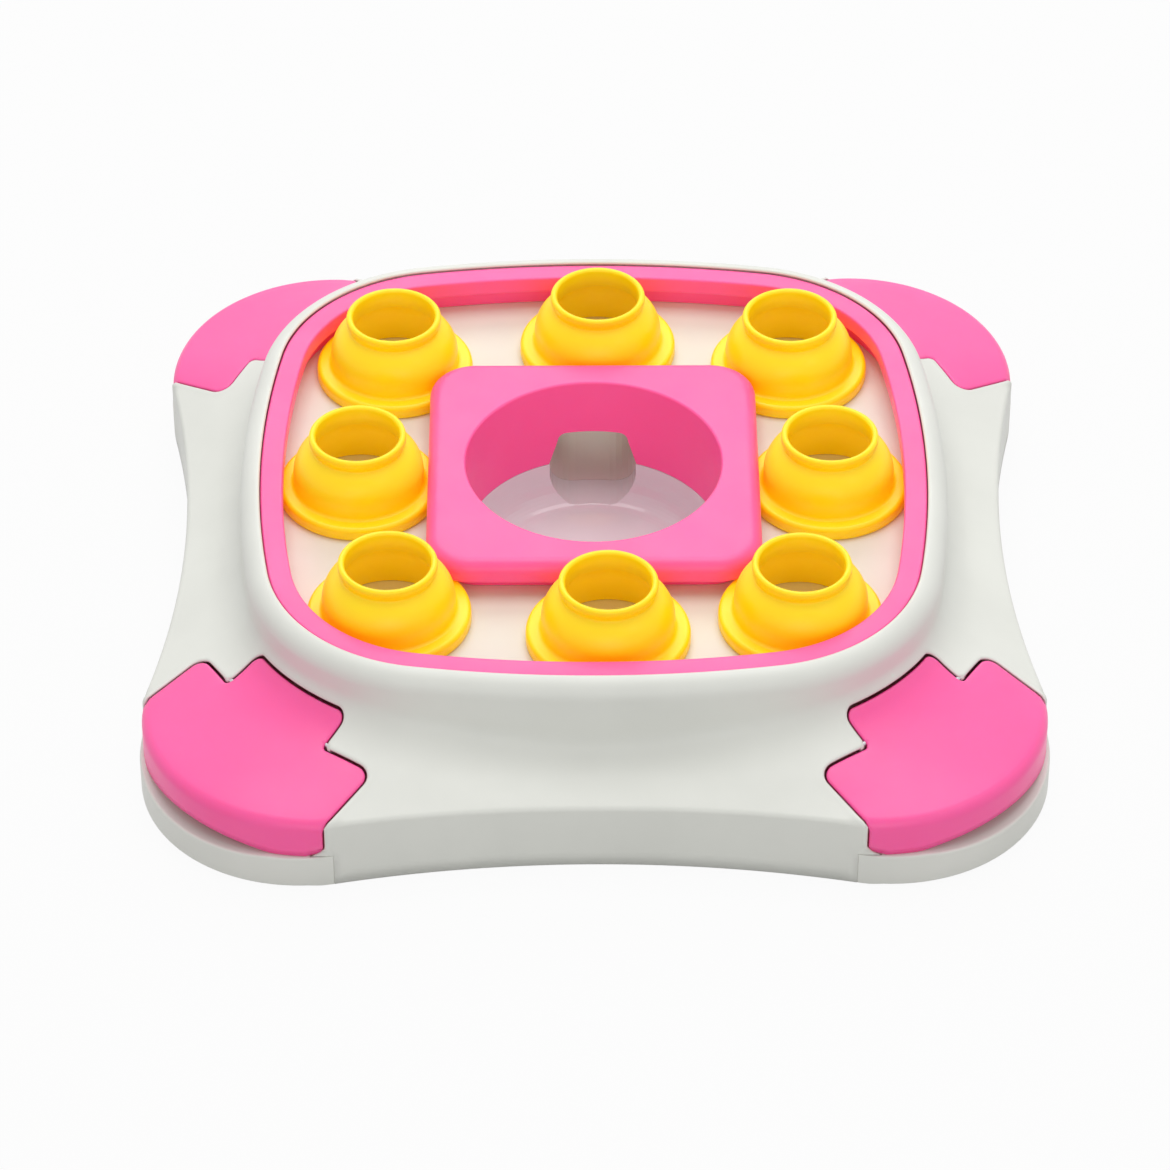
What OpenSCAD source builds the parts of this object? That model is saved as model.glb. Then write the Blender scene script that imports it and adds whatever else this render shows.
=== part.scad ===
// Dog puzzle feeder: a square toy whose eight cups slide round a track over a treat drop,
// with four flip-up corner lids over treat pockets and a bowl in the middle.
// X runs to the right, Y to the back and Z up. The rubber feet stand on Z = 0.
// Heights are measured from the underside of the base tray.

/* [Outline] */
// Width of the casing outside the ring, at the waists, where the sides curve in
shelf_w = 27.2; // [26.4:0.1:28]
// Distance from the centre of a ring corner to the centre of a corner lobe
lobe_out = 64.4; // [64:0.1:64.8]
// Radius of each corner lobe
lobe_r = 54; // [53:0.5:55]

/* [Casing] */
// Wall of the white casing
wall = 2.5; // [2.2:0.1:2.8]
// Height of the shelf's outer edge at the waists
edge_mid_z = 24; // [22:0.5:26]
// Height of the shelf's outer edge at the corners
edge_corner_z = 25.8; // [25:0.1:26.5]
// Rounding of the casing's outer edge
edge_r = 2; // [1:0.1:2.4]
// Height where the shelf would meet the ring wall at the waists
shelf_mid_z = 31; // [29:0.5:33]
// Height where the shelf would meet the ring wall at the corners
shelf_corner_z = 38.5; // [38:0.1:39]
// How far the cove between shelf and ring wall reaches out, at the waists
cove_mid_out = 9; // [6:0.5:12]
// How far the cove between shelf and ring wall reaches out, at the corners
cove_corner_out = 22; // [18:0.5:24]
// How far the cove reaches up the ring wall
cove_up = 8; // [5:0.5:11]
// Width and rounding of the white crest round the ring
crest_r = 7; // [6.6:0.1:7.4]
// Height of the crest's top
crest_z = 58; // [57.4:0.1:59]

/* [Pink ring] */
// Half width of the ring's outer edge
ring_half = 112.4; // [112:0.1:113]
// Radius of the ring's bulging sides
ring_side_r = 370; // [350:5:400]
// Radius of the ring's corners
ring_corner_r = 58; // [57:0.5:59]
// Height of the ring's top
ring_z = 57; // [56:0.1:57.8]
// Width of the ring's wall, under its lip
ring_wall = 4; // [3.8:0.1:4.2]
// How far the lip stands in over the track
ring_lip = 3.6; // [2:0.1:3.8]
// Height of the lip
ring_lip_h = 6; // [4:0.5:6.5]

/* [Deck and track] */
// Height of the deck that the cups slide on
deck_z = 44; // [43.6:0.1:44.4]
// Thickness of the deck
deck_t = 2.5; // [2:0.1:3]
// Radius of the treat drop at the back of the deck
drop_r = 12.5; // [10:0.5:14]
// Width of the casing's ledge under the deck
ledge_w = 7; // [6.5:0.5:9]

/* [Centre island] */
// How far the island's lip stands out over the track
island_lip = 5.4; // [4.4:0.1:5.8]
// Corner radius of the island's top
island_corner_r = 15.5; // [14.5:0.5:18]
// Rounding of the island's top edge
island_edge_r = 4.5; // [2:0.5:5]
// Height of the island's top
island_z = 57.2; // [56:0.1:58]
// Thickness of the island's lip
lip_t = 2.4; // [2:0.1:3]
// Half width of the stem under the island's lip
stem_half = 50.6; // [50.2:0.1:50.8]
// Corner radius of the stem
stem_corner_r = 12; // [11:0.5:13]
// Wall of the island
island_wall = 2.5; // [2:0.1:3]
// Radius of the round well
well_r = 43.3; // [40:0.1:44]
// Height of the well's lower end
well_z = 23.7; // [22:0.1:26]
// Width of the doorway at its top
door_top_w = 24.4; // [20:0.1:26]
// Width of the doorway at its foot
door_foot_w = 30.3; // [27:0.1:31]
// Height of the doorway
door_h = 12.3; // [10:0.1:13]
// Rounding of the doorway's top corners
door_r = 3; // [1:0.5:4]
// Radius of the island's screw posts
island_post_r = 4; // [3.5:0.1:4.5]

/* [Bowl and chute] */
// Height of the bowl's floor in the middle
bowl_floor_z = 8; // [7:0.5:10]
// Wall of the bowl
bowl_wall = 2.2; // [1.8:0.1:2.6]
// Width of the bowl's flat rim
bowl_rim = 4.6; // [4:0.1:6]
// Radius of the bend between the bowl's floor and its wall
bowl_bend = 11; // [8:0.5:14]
// Radius of the foot ring under the bowl
bowl_foot_r = 24; // [20:0.5:28]
// Half the width of the chute, inside
chute_r = 15; // [13:0.5:15.5]
// Rounding of the chute's lower corners
chute_corner_r = 9; // [6:0.5:12]
// Wall of the chute
chute_wall = 2; // [1.6:0.1:2.4]
// Slope of the chute, in degrees
chute_slope = 10; // [8:1:12]
// How far inside the well's wall the chute's floor runs out in the bowl
chute_in = 3.3; // [2.5:0.1:4]
// Height of the chute's floor above the bowl's floor, there
chute_step = 1.6; // [1.2:0.1:2.4]
// Distance of the chute's back wall behind the treat drop
chute_back = 4; // [3:0.5:6]

/* [Cups] */
// Width of the flange round a cup's body
flange_w = 5.1; // [4.8:0.1:5.6]
// Thickness of a cup's flange
flange_t = 4.7; // [4:0.1:4.8]
// Rounding of the flange's top edge
flange_edge_r = 1.6; // [1:0.1:2]
// Height of the straight part of a cup's body, above its flange
cup_straight = 4.6; // [3:0.1:5.5]
// Rounding of a cup's shoulder
shoulder_r = 12; // [10:0.5:13]
// Wall of a cup
cup_wall = 2.2; // [1.8:0.1:2.8]
// How far the mouth's edge lies inside a cup's body
mouth_in = 7.8; // [7:0.1:8.4]
// Thickness of the bead round the mouth
bead_t = 2.2; // [2:0.1:2.6]
// Height of the bead
bead_h = 3.4; // [2.6:0.1:3.8]
// How far the neck lies inside the bead
neck_in = 0.8; // [0.4:0.1:1]
// Height of a cup's top
cup_z = 68.9; // [68.4:0.1:70]

/* [Corner lids] */
// Lower edge of a lid's skirt, at its ends
skirt_z = 12.4; // [12:0.1:13]
// How far that edge arches up in the middle
skirt_arch = 3; // [1.5:0.5:4]
// Thickness of a lid
lid_t = 2.2; // [2:0.1:2.4]
// How far a lid lies below the casing's face
lid_sink = 0.4; // [0.2:0.1:0.6]
// Gap at the inner edge of a lid, where it swings
swing_gap = 1; // [0.9:0.1:1.3]
// Gap along a lid's other edges
lid_gap = 0.8; // [0.7:0.1:1]
// Distance of the casing's edge behind a lid from the foot of the ring wall
lid_mouth = 2; // [1.9:0.1:2.4]
// Rounding of a lid's outer edge
lid_edge_r = 4.5; // [3:0.5:5]
// Point of each white tooth: distance from the ring's corner along the diagonal
tooth_out = 18.1; // [17.8:0.1:18.6]
// Point of each white tooth: distance from the diagonal
tooth_t = 23.2; // [23:0.1:23.4]
// Foot of each white tooth: distance from the diagonal
tooth_foot_t = 21.6; // [21.3:0.1:21.9]
// Inner corner of a lid's wing: distance from the ring's corner along the diagonal
wing_out = 12.8; // [12.3:0.1:13.3]
// Inner corner of a lid's wing: distance from the diagonal
wing_t = 41.3; // [41:0.1:41.6]
// Rounding of that corner
wing_r = 4.5; // [3:0.5:5]
// Distance of a lid's outer end from the diagonal
lid_end_t = 43.9; // [43.5:0.1:44.2]
// Distance from the ring's corner to a lid's outer end, along the diagonal
lid_end_out = 37.9; // [37.3:0.1:38.3]
// Distance from the ring's corner to a lid's outer edge, on the diagonal
lid_nose_out = 57.8; // [57.3:0.1:58.2]

/* [Lid hinges] */
// Distance from the ring's corner to a hinge
hinge_out = 16.2; // [16:0.1:16.3]
// Height of a hinge
hinge_z = 33.2; // [33:0.1:33.3]
// Radius of a hinge pin
pin_r = 1; // [0.8:0.1:1]
// How far a pin stands out of the casing's ears
pin_end = 0.8; // [0.4:0.1:1]
// Running clearance of a lid on its pin
pin_fit = 0.05; // [0.02:0.01:0.1]
// Clearance of a pin in the casing's ears
ear_fit = 0.02; // [0.01:0.01:0.05]
// Radius of a lid's knuckle
knuckle_r = 2.1; // [2:0.1:2.2]
// Width of a lid's knuckle
knuckle_w = 5; // [4:0.5:7]
// Radius of a casing ear
ear_r = 1.9; // [1.8:0.1:1.9]
// Width of a casing ear
ear_w = 1.6; // [1.4:0.1:1.8]
// Radius of the relief that a lid's inner edge swings through
swing_r = 10.2; // [10.1:0.1:10.3]

/* [Base tray] */
// Thickness of the tray's floor
floor_t = 2.4; // [2:0.1:3]
// Wall of the tray
tray_wall = 2.6; // [2:0.1:3]
// Half width of the tray's lobe between the casing's side walls
lobe_half = 45.4; // [45.1:0.1:45.8]
// Depth of the finger scoop in the lobe's rim
scoop_depth = 1.2; // [0.8:0.1:2]
// Width of the finger scoop, and of the arch over it
scoop_w = 62; // [50:1:72]
// Width of the ledge that runs in from the lobe's rim, under the lid
rim_ledge = 8; // [6:0.5:9]
// Distance from the ring's corner to a treat pocket's back wall
pocket_out = 21.8; // [21:0.1:26]
// Half width of a treat pocket
pocket_half = 37; // [30:0.5:38]

/* [Feet and screws] */
// Radius of a rubber foot
foot_r = 9; // [7:0.5:11]
// How far a foot stands below the tray
foot_proud = 0.8; // [0.5:0.1:1.5]
// Depth of a foot in the tray's floor
foot_sunk = 1.2; // [0.8:0.1:1.4]
// Distance of a foot from the ring's corner, along the diagonal
foot_out = 12.2; // [8:0.2:16]
// Radius of a screw's shank
screw_r = 1.1; // [1:0.1:1.2]
// Radius of a screw's head
screw_head_r = 2.4; // [2.2:0.1:2.6]
// Thickness of a screw's head
screw_head_t = 1.4; // [1.2:0.1:1.6]
// Length of a screw's shank
screw_l = 8; // [7:0.5:9]
// Radius of the casing's screw posts
post_r = 3.6; // [3.4:0.1:4]
// Distance of a casing post from the middle line of its side
post_x = 48; // [40:1:52]
// Distance of a casing post from its side of the ring
post_out = 17; // [16:0.5:18]
// Distance of a ring screw from the middle line of its side
ring_screw_x = 30; // [20:1:36]

/* [Clearances] */
// Gap between pieces that stand still
seat = 0.2; // [0.1:0.05:0.25]
// Gap under a sliding cup
glide = 0.2; // [0.1:0.05:0.25]
// Gap between a cup's flange and each side of the track
track_play = 1.8; // [1.6:0.1:2]
// Gap between a cup's flange and the island's lip over it
lip_gap = 0.4; // [0.3:0.05:0.6]
// Gap round a screw
screw_fit = 0.1; // [0.05:0.05:0.2]

/* [Hidden] */
// Corners in the order of their quarter turns, and each corner cup's place in the track:
// its angle from the diagonal and how far it lies outside the track's middle, as a share of
// its play
CORNERS = ["rear_right", "rear_left", "front_left", "front_right"];
CORNER_CUPS = [[-2.2, -0.32], [2.1, 0.05], [0.4, 0.05], [-1.7, 0.55]];
// Sides in the same order, and each side cup's place: how far it lies along its side, turning
// the same way round, and how far outside the track's middle, as a share of its play
SIDES = ["mid_right", "rear_centre", "mid_left", "front_centre"];
SIDE_CUPS = [[-0.6, 0.05], [-1.9, -0.4], [0.2, 0], [4.4, -0.65]];
$fn = 72;

white = [0.86, 0.86, 0.84];
pink = [1, 0.46, 0.68];
yellow = [0.98, 0.78, 0.1];
steel = [0.72, 0.73, 0.75];
rubber = [0.25, 0.25, 0.26];
past = 1; // how far a cutting tool runs past the face that it cuts
far = 210; // further than any part of the toy is from the middle

// ---- Plan curves: distances from the middle along a ray at angle a from the diagonal ----

// Centre of a bulging ring side, behind the middle, and of a ring corner on the diagonal
ring_side_c = ring_side_r - ring_half;
ring_corner_c = (sqrt(2 * pow(ring_side_r - ring_corner_r, 2) - pow(ring_side_c, 2))
    - ring_side_c) / sqrt(2);
ring_tip = ring_corner_c + ring_corner_r;
// Centre of a corner lobe, and of the concave side that runs smoothly into two lobes
lobe_c = ring_corner_c + lobe_out;
waist_half = ring_half + shelf_w;
side_r = (pow(lobe_c, 2) + pow(waist_half, 2) - sqrt(2) * lobe_c * waist_half - pow(lobe_r, 2))
    / (2 * lobe_r - 2 * waist_half + sqrt(2) * lobe_c);
side_c = waist_half + side_r;
// Arc of a lid's outer edge
lid_end_s = ring_tip + lid_end_out;
lid_nose_s = ring_tip + lid_nose_out;
lid_rise = lid_nose_s - lid_end_s;
lid_nose_r = (pow(lid_end_t, 2) + pow(lid_rise, 2)) / 2 / lid_rise;
lid_nose_c = lid_nose_s - lid_nose_r;

function far_hit(c, r, a) = c * cos(a) + sqrt(pow(r, 2) - pow(c * sin(a), 2));
function near_hit(c, r, a) = c * cos(a) - sqrt(pow(r, 2) - pow(c * sin(a), 2));
function join_angle(p, q, d) = let (v = p + d * (q - p) / norm(q - p)) atan2(v[1], v[0]);

// The toy's outline, moved in by d
function outline(a, d = 0) =
    abs(a) < join_angle([lobe_c, 0], side_c * [cos(45), sin(45)], lobe_r - d)
    ? far_hit(lobe_c, lobe_r - d, a)
    : near_hit(side_c, side_r + d, 45 - abs(a));

// The pink ring's outer edge, moved out by d
function ring(a, d = 0) =
    abs(a) < join_angle([ring_corner_c, 0], -ring_side_c * [cos(45), sin(45)], -ring_corner_r - d)
    ? far_hit(ring_corner_c, ring_corner_r + d, a)
    : far_hit(-ring_side_c, ring_side_r + d, 45 - abs(a));

// A lid's outer edge, moved in by d
function lid_edge(a, d = 0) = far_hit(lid_nose_c, lid_nose_r - d, a);

// Rays over a quarter turn, closer together at the lobes, as angles from the diagonal
rays = 20;
crowding = 0.45;
QUARTER = [for (j = [0 : rays - 1]) let (u = 90 * j / rays - 45)
    u - crowding * sin(4 * u) * 45 / PI];
TURN = [for (i = [0 : 3], a = QUARTER) [45 + 90 * i + a, a]];

module ring_plate(d = 0) polygon([for (r = TURN) ring(r[1], d) * [cos(r[0]), sin(r[0])]]);
module outline_plate(d = 0) polygon([for (r = TURN) outline(r[1], d) * [cos(r[0]), sin(r[0])]]);

// ---- The casing's face: points [distance from the middle, height] along a ray ----

function blend(mid, corner, a) = mid + (corner - mid) * pow(cos(2 * a), 2);
function edge_height(a) = blend(edge_mid_z, edge_corner_z, a);
function shelf_height(a) = blend(shelf_mid_z, shelf_corner_z, a);
function shelf_slope(a) =
    atan((shelf_height(a) - edge_height(a)) / (outline(a) - ring(a, crest_r)));
crest_c_z = crest_z - crest_r;
cove_steps = 4;
crest_steps = 3;

// Rounded outer edge of the face, sunk by t, on the toy's outline or on a lid's edge
function edge_arc(a, t, of_lid) =
    let (
        slope = shelf_slope(a),
        steps = of_lid ? 4 : 2,
        r = max((of_lid ? lid_edge_r : edge_r) - t, 0.3),
        out = of_lid ? lid_edge(a, t) : outline(a, t),
        corner_z = edge_height(a) + tan(slope) * (outline(a) - out) - t / cos(slope),
        z = corner_z - r * (1 - sin(slope)) / cos(slope)
    )
    [for (k = [0 : steps]) let (f = k / steps * (90 - slope), d = t + r * (1 - cos(f)))
        [of_lid ? lid_edge(a, d) : outline(a, d), z + r * sin(f)]];

// Cove between shelf and ring wall, sunk by t, from the shelf up to the wall
function cove(a, t) =
    let (
        slope = shelf_slope(a),
        out = blend(cove_mid_out, cove_corner_out, a),
        low = [out - t * sin(slope), shelf_height(a) - out * tan(slope) - t * cos(slope)],
        bend = [-t, shelf_height(a) + t * (tan(slope) - 1 / cos(slope))],
        top = [-t, shelf_height(a) + cove_up]
    )
    [for (k = [cove_steps : -1 : 0]) let (u = k / cove_steps,
        p = pow(u, 2) * low + 2 * u * (1 - u) * bend + pow(1 - u, 2) * top)
        [ring(a, crest_r + p[0]), p[1]]];

function crest(a, t) = [for (k = [0 : crest_steps]) let (f = 90 * k / crest_steps)
    [ring(a, (crest_r - t) * cos(f)), crest_c_z + (crest_r - t) * sin(f)]];

function on_ray(angle, profile) = [for (p = profile) [p[0] * cos(angle), p[0] * sin(angle), p[1]]];

// A solid through one closed profile after another
module loft(profiles, closed) {
    n = len(profiles);
    m = len(profiles[0]);
    polyhedron(
        points = [for (p = profiles) each p],
        faces = concat(
            [for (i = [0 : n - (closed ? 1 : 2)], j = [0 : m - 1], k = [0, 1])
                let (here = i * m, next = (i + 1) % n * m, up = (j + 1) % m)
                k == 0 ? [here + j, here + up, next + up] : [here + j, next + up, next + j]],
            closed ? [] : [[for (j = [m - 1 : -1 : 0]) j], [for (j = [0 : m - 1]) (n - 1) * m + j]]
        )
    );
}

// Everything under the casing's face sunk by t, outside the pink ring's edge
module casing_body(t, foot_z) {
    loft([for (r = TURN) on_ray(r[0], concat(
        [[ring(r[1]), foot_z], [outline(r[1], t), foot_z]],
        edge_arc(r[1], t, false), cove(r[1], t), crest(r[1], t)))], true);
}

// The same under one lid, in the corner's own frame, within an angle of the diagonal
lid_rays = 12;
lid_reach = 18;
module lid_body(t, foot_z, reach) {
    loft([for (j = [0 : lid_rays]) let (a = reach * (2 * j / lid_rays - 1)) on_ray(a, concat(
        [[ring(a, crest_r - t), foot_z], [lid_edge(a, t), foot_z]],
        edge_arc(a, t, true), cove(a, t)))], false);
}

// Points along an arc, between two angles
function arc(c, r, from, to, steps) = [for (k = [0 : steps])
    let (f = from + (to - from) * k / steps) c + r * [cos(f), sin(f)]];

// ---- Frames ----

module lift() translate([0, 0, foot_proud]) children();
// Corner i's frame has the diagonal as its X axis
module corner(i) rotate(45 + 90 * i) children();
module each_corner() for (i = [0 : 3]) corner(i) children();
// Puts children at x along each side, both ways, at distance y from the middle
module each_side(x, y) for (i = [0 : 3], s = [-1, 1]) rotate(90 * i) translate([s * x, y, 0])
    children();
module slab(z0, z1) translate([0, 0, z0]) linear_extrude(z1 - z0) children();
module drum(r, z0, z1) translate([0, 0, z0]) cylinder(r = r, h = z1 - z0);
// A cylinder along a hinge, between two distances from the diagonal
module along_hinge(r, t0, t1) translate([hinge_s, t0, hinge_z]) rotate([-90, 0, 0])
    cylinder(r = r, h = t1 - t0);

// Two cylinders of width w along a hinge, each centred at distance t from the diagonal
module hinge_pair(r, t, w) for (s = [-1, 1]) along_hinge(r, s * t - w / 2, s * t + w / 2);

// ---- Sizes that follow from others ----

hinge_s = ring_tip + hinge_out;
pocket_s = ring_tip + pocket_out;
foot_s = ring_tip + foot_out;
rim_z = skirt_z - seat - 0.1;
ledge_top = deck_z - deck_t;
ledge_z = ledge_top - wall;
tube_r = well_r + island_wall;
bowl_z = well_z - seat;
lip_z = deck_z + glide + flange_t + lip_gap;
island_half = stem_half + island_lip;
track_half = (stem_half + ring_half - ring_wall) / 2;
flange_r = (ring_half - ring_wall - stem_half) / 2 - track_play;
cup_r = flange_r - flange_w;
mouth_r = cup_r - mouth_in;
pivot = stem_half - stem_corner_r;
path_r = (pivot * sqrt(2) + stem_corner_r + ring_corner_c + ring_corner_r - ring_wall) / 2
    - pivot * sqrt(2);
corner_play = path_r - stem_corner_r - flange_r;
mouth_arc_r = ring_corner_r + crest_r + lid_mouth;
ear_t = tooth_t + 0.4;
pin_half = ear_t + ear_w + pin_end;
post_y = ring_half + post_out;
ring_screw_y = sqrt(pow(ring_side_r - ring_wall / 2, 2) - pow(ring_screw_x, 2)) - ring_side_c;
island_screw = pivot + 1;
chute_low_y = well_r - chute_in;
chute_low_z = bowl_floor_z + chute_step;
chute_back_y = track_half + drop_r + chute_back;
shoulder_c = cup_r - shoulder_r;
shoulder_z = deck_z + glide + flange_t + cup_straight;
bead_r = bead_t / 2;
neck_r = mouth_r + bead_t - neck_in;

// ---- Lid openings ----

// Outline of the opening behind a lid, from the diagonal outwards, moved in by g
function shift_line(p, q, g) = let (u = (q - p) / norm(q - p)) [p + g * [u[1], -u[0]], u];
function crossing(m, n) =
    let (d = m[1][0] * n[1][1] - m[1][1] * n[1][0], w = n[0] - m[0])
    m[0] + (w[0] * n[1][1] - w[1] * n[1][0]) / d * m[1];
root_s = ring_tip + 4.8;
corner_steps = 5;
function wing_corner(m, n, r) =
    let (c = crossing(shift_line(m[0], m[0] + m[1], r), shift_line(n[0], n[0] + n[1], r)),
        from = atan2(-m[1][0], m[1][1]) + 180, to = atan2(-n[1][0], n[1][1]) + 180)
    [for (k = [0 : corner_steps]) let (f = from + (to - from) * k / corner_steps)
        c + r * [cos(f), sin(f)]];
module lid_outline(g) {
    tooth = [ring_tip + tooth_out, tooth_t];
    wing = [ring_tip + wing_out, wing_t];
    inner = shift_line([root_s, tooth_foot_t], tooth, g);
    back = shift_line(tooth, wing, g);
    end = shift_line(wing, [lid_end_s, lid_end_t], g);
    half = concat(
        [inner[0], crossing(inner, back)],
        wing_corner(back, end, wing_r),
        [end[0] + (far - wing[0]) * end[1]]
    );
    polygon(concat(half, [for (k = [len(half) - 1 : -1 : 0]) [half[k][0], -half[k][1]]]));
}
module lid_mouth(g, arc_gap) difference() {
    lid_outline(g);
    translate([ring_corner_c, 0]) circle(r = mouth_arc_r + arc_gap);
}

// ---- Pieces ----

module lobe_plate(d, half) intersection() {
    outline_plate(d);
    each_corner() translate([pocket_s, -half]) square([far, 2 * half]);
}

// A round bar along the diagonal from a lobe's centre outwards, as wide as a finger scoop at
// height z and reaching h past it, upwards or downwards
module bow(z, h) {
    r = (pow(scoop_w / 2, 2) + pow(h, 2)) / 2 / abs(h);
    translate([lobe_c, 0, z + h - sign(h) * r]) rotate([0, 90, 0])
        cylinder(r = r, h = far, $fn = 180);
}

module base_tray() color(white) lift() difference() {
    union() {
        slab(0, floor_t) {
            outline_plate(wall + seat);
            lobe_plate(0, lobe_half - seat);
        }
        slab(0, rim_z) {
            difference() {
                lobe_plate(0, lobe_half - seat);
                lobe_plate(tray_wall, far);
            }
            intersection() {
                outline_plate(tray_wall / 2);
                each_corner() difference() {
                    translate([pocket_s - tray_wall, -pocket_half - tray_wall])
                        square([far, 2 * (pocket_half + tray_wall)]);
                    translate([pocket_s, -pocket_half]) square([far, 2 * pocket_half]);
                }
            }
        }
        slab(rim_z - scoop_depth - floor_t, rim_z) difference() {
            lobe_plate(0, lobe_half - seat);
            lobe_plate(rim_ledge, far);
        }
        each_side(post_x, post_y) drum(post_r, 0, floor_t + screw_l / 2);
        difference() {
            drum(bowl_foot_r + seat + tray_wall, 0, 2 * floor_t);
            drum(bowl_foot_r + seat, floor_t, far);
        }
    }
    each_corner() bow(rim_z, -scoop_depth);
    each_side(post_x, post_y) {
        drum(screw_r + screw_fit, -past, far);
        drum(screw_head_r + screw_fit, -past, floor_t + seat);
    }
    each_corner() translate([foot_s, 0, 0]) drum(foot_r + seat, -past, foot_sunk);
}

module body_shell() color(white) lift() difference() {
    union() {
        difference() {
            casing_body(0, 0);
            difference() {
                casing_body(wall, -past);
                slab(ledge_z, far) ring_plate(seat + wall);
            }
            slab(ledge_top, far) ring_plate(seat);
            each_corner() along_hinge(swing_r, -tooth_foot_t - 0.3, tooth_foot_t + 0.3);
        }
        slab(ledge_z, ledge_top) difference() {
            ring_plate(seat + wall);
            ring_plate(-ledge_w);
        }
        intersection() {
            each_side(post_x, post_y) drum(post_r, floor_t + screw_l / 2 + seat, far);
            casing_body(wall / 2, 0);
        }
        each_corner() hinge_pair(ear_r, ear_t + ear_w / 2, ear_w);
    }
    each_corner() difference() {
        slab(-past, far) lid_mouth(0, 0);
        hinge_pair(ear_r, ear_t + ear_w / 2, ear_w);
    }
    each_corner() {
        slab(-past, rim_z + seat) translate([pocket_s, -lobe_half]) square([far, 2 * lobe_half]);
        along_hinge(pin_r + ear_fit, -pin_half - seat, pin_half + seat);
    }
    each_side(post_x, post_y) drum(screw_r + screw_fit, 0, floor_t + screw_l + past);
    each_side(ring_screw_x, ring_screw_y) drum(screw_r + screw_fit, 0, deck_z);
}

module play_deck() color(white) lift() slab(ledge_top, deck_z) difference() {
    ring_plate(0);
    circle(r = tube_r + seat);
    translate([0, track_half]) circle(r = drop_r);
    each_side(ring_screw_x, ring_screw_y) circle(r = screw_r + screw_fit);
    each_corner() translate([island_screw * sqrt(2), 0]) circle(r = screw_r + screw_fit);
}

module rim_ring() color(pink) lift() difference() {
    union() {
        slab(deck_z, ring_z) difference() {
            ring_plate(0);
            ring_plate(-ring_wall);
        }
        slab(ring_z - ring_lip_h, ring_z) difference() {
            ring_plate(-ring_wall / 2);
            ring_plate(-ring_wall - ring_lip);
        }
    }
    each_side(ring_screw_x, ring_screw_y) drum(screw_r + screw_fit, 0,
        ledge_z + screw_l + past);
}

// A rounded square's outline, clockwise, at height z
square_steps = 8;
function square_loop(half, r, z) =
    [for (i = [3 : -1 : 0], k = [square_steps : -1 : 0]) let (f = 90 * (i + k / square_steps))
        concat((half - r) * sqrt(2) * [cos(45 + 90 * i), sin(45 + 90 * i)] + r * [cos(f), sin(f)],
            [z])];
module square_plate(half, r) polygon([for (p = square_loop(half, r, 0)) [p[0], p[1]]]);
// A rounded square block whose top edge is rounded too
pillow_steps = 4;
module pillow(half, r, z0, z1, er) loft(concat([square_loop(half, r, z0)],
    [for (k = [0 : pillow_steps]) let (f = 90 * k / pillow_steps, d = er * (1 - cos(f)))
        square_loop(half - d, r - d, z1 - er + er * sin(f))]), false);

// The doorway in the back of the well's wall
module doorway() {
    half = concat(
        [for (f = [0 : 22.5 : 90]) [door_top_w / 2 - door_r * (1 - sin(f)),
            well_z + door_h - door_r * (1 - cos(f))]],
        [[door_foot_w / 2, well_z - past]]);
    rotate([90, 0, 180]) linear_extrude(far) polygon(concat(half,
        [for (k = [len(half) - 1 : -1 : 0]) [-half[k][0], half[k][1]]]));
}

module centre_island() color(pink) lift() difference() {
    w = island_wall;
    union() {
        difference() {
            union() {
                pillow(island_half, island_corner_r, lip_z, island_z, island_edge_r);
                slab(deck_z, lip_z + lip_t) square_plate(stem_half, stem_corner_r);
            }
            slab(0, lip_z + lip_t + past) square_plate(stem_half - w, stem_corner_r - w);
            slab(lip_z + lip_t, island_z - w) square_plate(island_half - w, island_corner_r - w);
        }
        each_corner() translate([island_screw * sqrt(2), 0, 0])
            drum(island_post_r, deck_z, island_z - w / 2);
    }
    drum(well_r, 0, far);
    each_corner() translate([island_screw * sqrt(2), 0, 0])
        drum(screw_r + screw_fit, 0, ledge_top + screw_l + past);
}

module well_wall() color(pink) lift() difference() {
    drum(tube_r, well_z, island_z - island_wall);
    drum(well_r, 0, far);
    doorway();
}

// The chute's inside widened by d, open at the top, between two distances along its slope,
// which rises towards the back
module chute_bar(d, y0, y1) translate([0, chute_low_y, chute_low_z]) rotate([chute_slope, 0, 0])
    translate([0, y1, 0]) rotate([90, 0, 0]) linear_extrude(y1 - y0) polygon(concat(
        arc([chute_corner_r - chute_r, chute_corner_r], chute_corner_r + d, 180, 270, 6),
        arc([chute_r - chute_corner_r, chute_corner_r], chute_corner_r + d, 270, 360, 6),
        [[chute_r + d, far], [-chute_r - d, far]]));

// Everything inside the bowl's inner face moved out by t, up to height z
module bowl_block(t, z) rotate_extrude() polygon(concat(
    [[0, bowl_floor_z - t]],
    arc([well_r - bowl_bend, bowl_floor_z + bowl_bend], bowl_bend + t, -90, 0, 12),
    [[well_r + t, z], [0, z]]
));

module treat_bowl() color(white) lift() difference() {
    union() {
        bowl_block(bowl_wall, bowl_z);
        drum(well_r + bowl_rim, bowl_z - bowl_wall, bowl_z);
        intersection() {
            chute_bar(chute_wall, 0, chute_back_y);
            drum(well_r + bowl_rim, 0, bowl_z);
        }
        difference() {
            drum(bowl_foot_r, floor_t, bowl_floor_z - bowl_wall / 2);
            drum(bowl_foot_r - bowl_wall, 0, bowl_floor_z - bowl_wall);
        }
    }
    bowl_block(0, bowl_z + past);
    chute_bar(0, (seat / 2 - chute_step) / sin(chute_slope), chute_back_y);
}

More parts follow.
